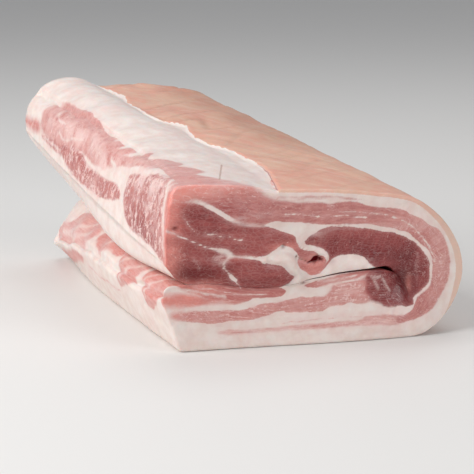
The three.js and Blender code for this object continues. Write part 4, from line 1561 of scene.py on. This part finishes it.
class MeatNodes:
    """The slab's shader nodes: shared textures, and from them the colours of fat, lean and skin."""

    def __init__(self, finish: CutMeat) -> None:
        """Sets up the textures: clouds in the object's millimetres, and fibres along the mesh's flow."""
        self.finish = finish
        self.n = n = Bench("cut_meat")
        self.place = n.vector(n.node("ShaderNodeTexCoord").outputs["Object"], (1000, 1000, 1000))
        self.flow = n.node("ShaderNodeAttribute", attribute_name="flow").outputs["Vector"]
        self.cloud = n.noise(self.place, finish.cloud_scale, 3)
        self.blotch = n.noise(self.place, finish.blotch_scale, 4)
        self.grain = n.noise(self.place, finish.grain_scale, 4, 0.6)
        self.speck = n.noise(self.place, finish.speck_scale, 3, 0.6)
        self.fibre = self.fibres((0.09, 0.75, 0.2), 4, 0.4)
        self.strand = self.fibres((0.15, 0.8, 0.35), 3, 0.3)
        self.veil = n.noise(n.vector(self.flow, (0.05, 0.25, 0.15)), 1.0, 4, 0.6, 0.6)
        self.wisp = n.noise(n.vector(self.flow, (0.07, 0.2, 0.2)), 1.0, 3, 0.55, 1.2)
        self.bundle = n.cells(n.vector(self.flow, (0.25, 0.7, 0.5)))
        self.lobule = n.cells(n.vector(self.place, (0.17, 0.17, 0.22)), "SMOOTH_F1")
        wrinkles = n.turned(self.flow, finish.wrinkle_turn, finish.wrinkle_lengths)
        self.wrinkle = n.noise(wrinkles, 1.0, 5, 0.6, 0.3)
        self.lean_edge, self.lean_share = self.lean_border()
        self.hide = n.ramp(n.add(n.mask("skin"), n.centred(self.grain, 0.7)), -0.25, 0.25)

    def fibres(self, scale: Triple, detail: float, bend: float) -> Socket:
        """Stretched noise along the layer, or across it by the mask, per mm along, across and deep."""
        n = self.n
        along = n.noise(n.vector(self.flow, scale), 1.0, detail, 0.62, bend)
        across = n.noise(n.vector(self.flow, (scale[1], scale[0], scale[2])), 1.0, detail, 0.62, bend)
        inputs = {0: n.mask("across"), 2: along, 3: across}
        return n.node("ShaderNodeMix", inputs, data_type="FLOAT").outputs[0]

    def lean_border(self) -> tuple[Socket, Socket]:
        """Distance into the lean with a ragged edge, mm, and the share of lean that it gives."""
        n, soft = self.n, self.n.mask("soft")
        wander = n.add(n.centred(self.grain, 0.8), n.centred(self.fibre, 0.9))
        edge = n.add(n.mask("lean"), n.times(wander, n.add(1.0, soft)))
        half = n.add(self.finish.border, n.times(soft, self.finish.fade))
        return edge, n.ramp(edge, n.times(half, -1.0), half)

    def fat(self) -> Socket:
        """Fat: warm white with faint lobules, pinkish seams and a pink halo beside the lean."""
        n, f = self.n, self.finish
        fat = n.blend(n.ramp(self.blotch, 0.35, 0.7), f.fat, f.fat_shade)
        fat = n.blend(n.times(n.ramp(self.cloud, 0.5, 0.75), 0.3), fat, f.fat_pink)
        fat = n.blend(n.times(n.ramp(self.lobule, 0.35, 0.75), 0.25), fat, f.fat_shade)
        seam = n.noise(n.vector(self.flow, (0.025, 0.3, 0.08)), 1.0, 3, 0.5, 0.5)
        fat = n.blend(n.times(n.line(seam, 0.03), n.ramp(self.blotch, 0.4, 0.6, 0.0, 0.1)), fat, f.seam)
        halo = n.times(n.ramp(self.lean_edge, -f.halo, 0.0), n.ramp(self.veil, 0.3, 0.7, 0.12, 0.3))
        fat = n.blend(halo, fat, f.fat_pink)
        beside_skin = n.ramp(n.mask("skin"), -3.0, -0.5, 0.0, 0.6)
        return n.blend(n.times(n.mask("rim"), beside_skin), fat, f.fat_white)

    def lean(self) -> Socket:
        """Lean: toned by its muscle, with fibres, bundles, flecks and wisps of fat, and smeared fat."""
        n, f = self.n, self.finish
        marble = n.mask("marble")
        tone = n.add(n.mask("tone"), n.centred(self.blotch, 0.35))
        tone = n.math("ADD", tone, n.centred(self.fibre, 0.45), clamp=True)
        lean = n.scale(tone, f.lean_stops)
        patchy = n.ramp(n.add(self.blotch, n.times(self.grain, 0.3)), 0.4, 0.85, 0.5, 1.0)
        lean = n.blend(n.times(n.mask("warm"), patchy), lean, f.salmon)
        lean = n.blend(n.ramp(self.bundle, 0.0, 0.14, 0.08, 0.0), lean, f.flecks)
        level = n.add(0.64, n.times(marble, -0.14))
        threads = n.add(n.times(self.strand, 0.7), n.times(self.grain, 0.3))
        lean = n.blend(n.times(n.ramp(threads, level, n.add(level, 0.1)), f.fleck), lean, f.flecks)
        wisps = n.times(n.line(self.wisp, 0.03), n.ramp(self.blotch, 0.42, 0.6, 0.1, 0.7))
        lean = n.blend(n.times(wisps, n.add(0.15, marble)), lean, f.flecks)
        lean = n.blend(n.ramp(self.lean_edge, 0.2, 2.2, 0.12, 0.0), lean, f.fat_pink)
        smear = n.ramp(n.add(self.veil, n.centred(self.grain, 0.35)), 0.36, 0.64)
        return n.blend(n.times(n.mask("haze"), n.times(smear, f.smear)), lean, f.flecks)

    def skin(self) -> Socket:
        """Skin: tan and pink clouds, painted highlight and shade along the fine lines, painted shade in the
        creases and on the rear; the cut skin is greyer.
        """
        n, f = self.n, self.finish
        cloudy = n.ramp(n.add(self.cloud, n.centred(self.blotch, 0.6)), 0.4, 0.66)
        skin = n.blend(cloudy, f.skin, f.skin_pink)
        # painted highlight and shade along the fine lines, following their bumps
        skin = n.blend(n.ramp(self.wrinkle, 0.5, 0.72, 0.0, 0.55), skin, f.skin_pale)
        skin = n.blend(n.ramp(self.wrinkle, 0.3, 0.46, 0.2, 0.0), skin, f.skin_shade)
        skin = n.blend(n.ramp(self.speck, 0.6, 0.75, 0.0, 0.2), skin, f.skin_pink)
        skin = n.blend(n.times(n.mask("blush"), f.blush), skin, f.skin_pink)
        skin = n.blend(n.times(n.mask("crease"), f.crease), skin, f.skin_shade)
        skin = n.blend(n.mask("warm"), skin, f.salmon)
        return n.blend(n.mask("rind"), skin, f.rind)

    def colour(self) -> Socket:
        """Fat and lean by the border between them, under the skin, with painted shade in the gaps, pits and
        nicks.
        """
        n, f = self.n, self.finish
        flesh = n.blend(self.lean_share, self.fat(), self.lean())
        colour = n.blend(self.hide, flesh, self.skin())
        edge, curl = n.mask("skin"), n.mask("curl")
        lip = n.times(n.ramp(edge, -0.2, 0.3), n.ramp(edge, 0.9, 1.7, 1.0, 0.0))
        colour = n.blend(n.times(n.times(lip, curl), f.curled_lip), colour, f.curl)
        # painted red shadow in the groove beside the curled lip
        gap = n.times(n.ramp(edge, -1.2, -0.7), n.ramp(edge, -0.4, 0.0, 1.0, 0.0))
        colour = n.blend(n.times(n.times(gap, curl), f.raw_gap), colour, f.raw)
        # painted shade in the nicks
        nick = n.ramp(n.mask("cut"), -0.1, 0.6, 0.8, 0.0)
        colour = n.blend(nick, colour, f.skin_shade)
        # painted shade: deep red where the dark mask lies
        return n.blend(n.mask("dark"), colour, f.blood)

    def height(self) -> Socket:
        """Fine relief: fibres and flecks on the lean, lobules on the fat, lines and pores on the skin."""
        n = self.n
        lean = n.add(n.times(self.fibre, 0.35), n.times(self.strand, n.times(n.mask("marble"), 0.3)))
        lean = n.add(lean, n.ramp(self.bundle, 0.0, 0.2, 0.0, 0.12))
        fat = n.add(n.times(self.lobule, 0.3), n.times(self.blotch, 0.35))
        skin = n.add(n.times(self.wrinkle, 0.45), n.times(self.speck, 0.06))
        flesh = n.add(n.times(self.lean_share, lean), n.times(n.rest(self.lean_share), fat))
        covered = n.add(n.times(n.rest(self.hide), flesh), n.times(self.hide, skin))
        return n.add(n.times(self.grain, 0.12), covered)

    def build(self) -> bpy.types.Material:
        """Joins the colours and the relief in one shader."""
        n, f = self.n, self.finish
        relief = {"Height": self.height(), "Strength": f.bump, "Distance": f.bump_depth}
        rough = n.add(f.rough, n.times(self.lean_share, -0.06))
        rough = n.add(rough, n.times(self.hide, 0.1))
        rough = n.add(rough, n.centred(self.blotch, 0.25))
        # less gloss where the dark mask paints shade
        open_air = n.rest(n.mask("dark"))
        shader = n.node("ShaderNodeBsdfPrincipled", {
            "Base Color": self.colour(),
            "Roughness": rough,
            "Normal": n.node("ShaderNodeBump", relief).outputs["Normal"],
            "Subsurface Weight": f.glow,
            "Subsurface Radius": f.glow_colours,
            "Subsurface Scale": f.glow_depth,
            "Specular IOR Level": n.times(open_air, f.gloss),
            "Coat Weight": n.times(open_air, f.coat),
            "Coat Roughness": f.coat_rough,
        })
        n.node("ShaderNodeOutputMaterial", {"Surface": shader.outputs["BSDF"]})
        return n.material


@dataclass(frozen=True)
class Lamp:
    """A soft rectangular lamp: place and sides in metres, and its power."""

    name: str
    at: Triple
    sides: tuple[float, float]
    watts: float

    def build(self, aim: Triple) -> None:
        """Hangs the lamp, turned towards a point."""
        lamp = bpy.data.lights.new(self.name, "AREA")
        lamp.shape, lamp.energy = "RECTANGLE", self.watts
        lamp.size, lamp.size_y = self.sides
        holder = bpy.data.objects.new(self.name, lamp)
        dx, dy, dz = np.array(aim) - np.array(self.at)
        holder.location = self.at
        holder.rotation_euler = (math.atan2(math.hypot(dx, dy), -dz), 0, math.atan2(dy, dx) - math.pi / 2)
        bpy.context.scene.collection.objects.link(holder)


@dataclass(frozen=True)
class Studio:
    """Pale floor, soft lights and the camera, in the frame's metres."""

    camera_at: Triple = (-0.3830, -1.2690, 0.2967)
    camera_turn: Triple = (math.radians(79), 0.0, math.radians(-17))
    lens: float = 151.9  # mm, on a sensor 36 mm wide
    sensor: float = 36.0
    floor_half: float = 4.0
    floor_colour: Colour = ink(226, 224, 221)
    floor_rough: float = 0.6
    sky_colour: Colour = ink(236, 238, 242)
    sky_strength: float = 0.42
    aim: Triple = (0.0, 0.0, 0.06)
    lamps: tuple[Lamp, ...] = (
        Lamp("key", (-1.25, -0.25, 0.95), (0.9, 0.9), 20),
        Lamp("front_fill", (0.95, -1.45, 0.7), (0.9, 0.6), 9.5),
        Lamp("top", (0.3, 0.6, 1.4), (1.0, 1.0), 5),
    )

    def floor(self) -> None:
        """Lays the floor, a square of one plain finish."""
        h = self.floor_half
        mesh = bpy.data.meshes.new("floor")
        mesh.from_pydata([(-h, -h, 0), (h, -h, 0), (h, h, 0), (-h, h, 0)], [], [(0, 1, 2, 3)])
        floor = bpy.data.objects.new("floor", mesh)
        bpy.context.scene.collection.objects.link(floor)
        n = Bench("pale_floor")
        finish = {"Base Color": self.floor_colour, "Roughness": self.floor_rough}
        n.node("ShaderNodeOutputMaterial", {
            "Surface": n.node("ShaderNodeBsdfPrincipled", finish).outputs["BSDF"],
        })
        mesh.materials.append(n.material)

    def sky(self) -> None:
        """Fills the room with an even, dim light."""
        world = bpy.data.worlds.new("soft_room")
        world.use_nodes = True
        light = world.node_tree.nodes["Background"].inputs
        light["Color"].default_value = self.sky_colour
        light["Strength"].default_value = self.sky_strength
        bpy.context.scene.world = world

    def camera(self) -> None:
        """Sets up the camera."""
        lens = bpy.data.cameras.new("camera")
        lens.lens, lens.sensor_width = self.lens, self.sensor
        camera = bpy.data.objects.new("camera", lens)
        camera.location, camera.rotation_euler = self.camera_at, self.camera_turn
        bpy.context.scene.collection.objects.link(camera)
        bpy.context.scene.camera = camera

    def build(self) -> None:
        """Builds the floor, the world's light, the lamps and the camera."""
        bpy.context.scene.view_settings.view_transform = "Standard"
        self.floor()
        self.sky()
        for lamp in self.lamps:
            lamp.build(self.aim)
        self.camera()
        log.info("studio: floor, %d lamps and camera", len(self.lamps))


def main() -> None:
    """Builds the slab and the studio."""
    logging.basicConfig(level=logging.INFO, format="%(name)s: %(message)s")
    slab = BellySlab().build()
    slab.data.materials.append(CutMeat().material())
    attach(slab, "root")
    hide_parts("pork_belly")
    log.info("%s: %d points, %d polygons", slab.name, len(slab.data.vertices), len(slab.data.polygons))
    Studio().build()


if __name__ == "__main__":
    main()
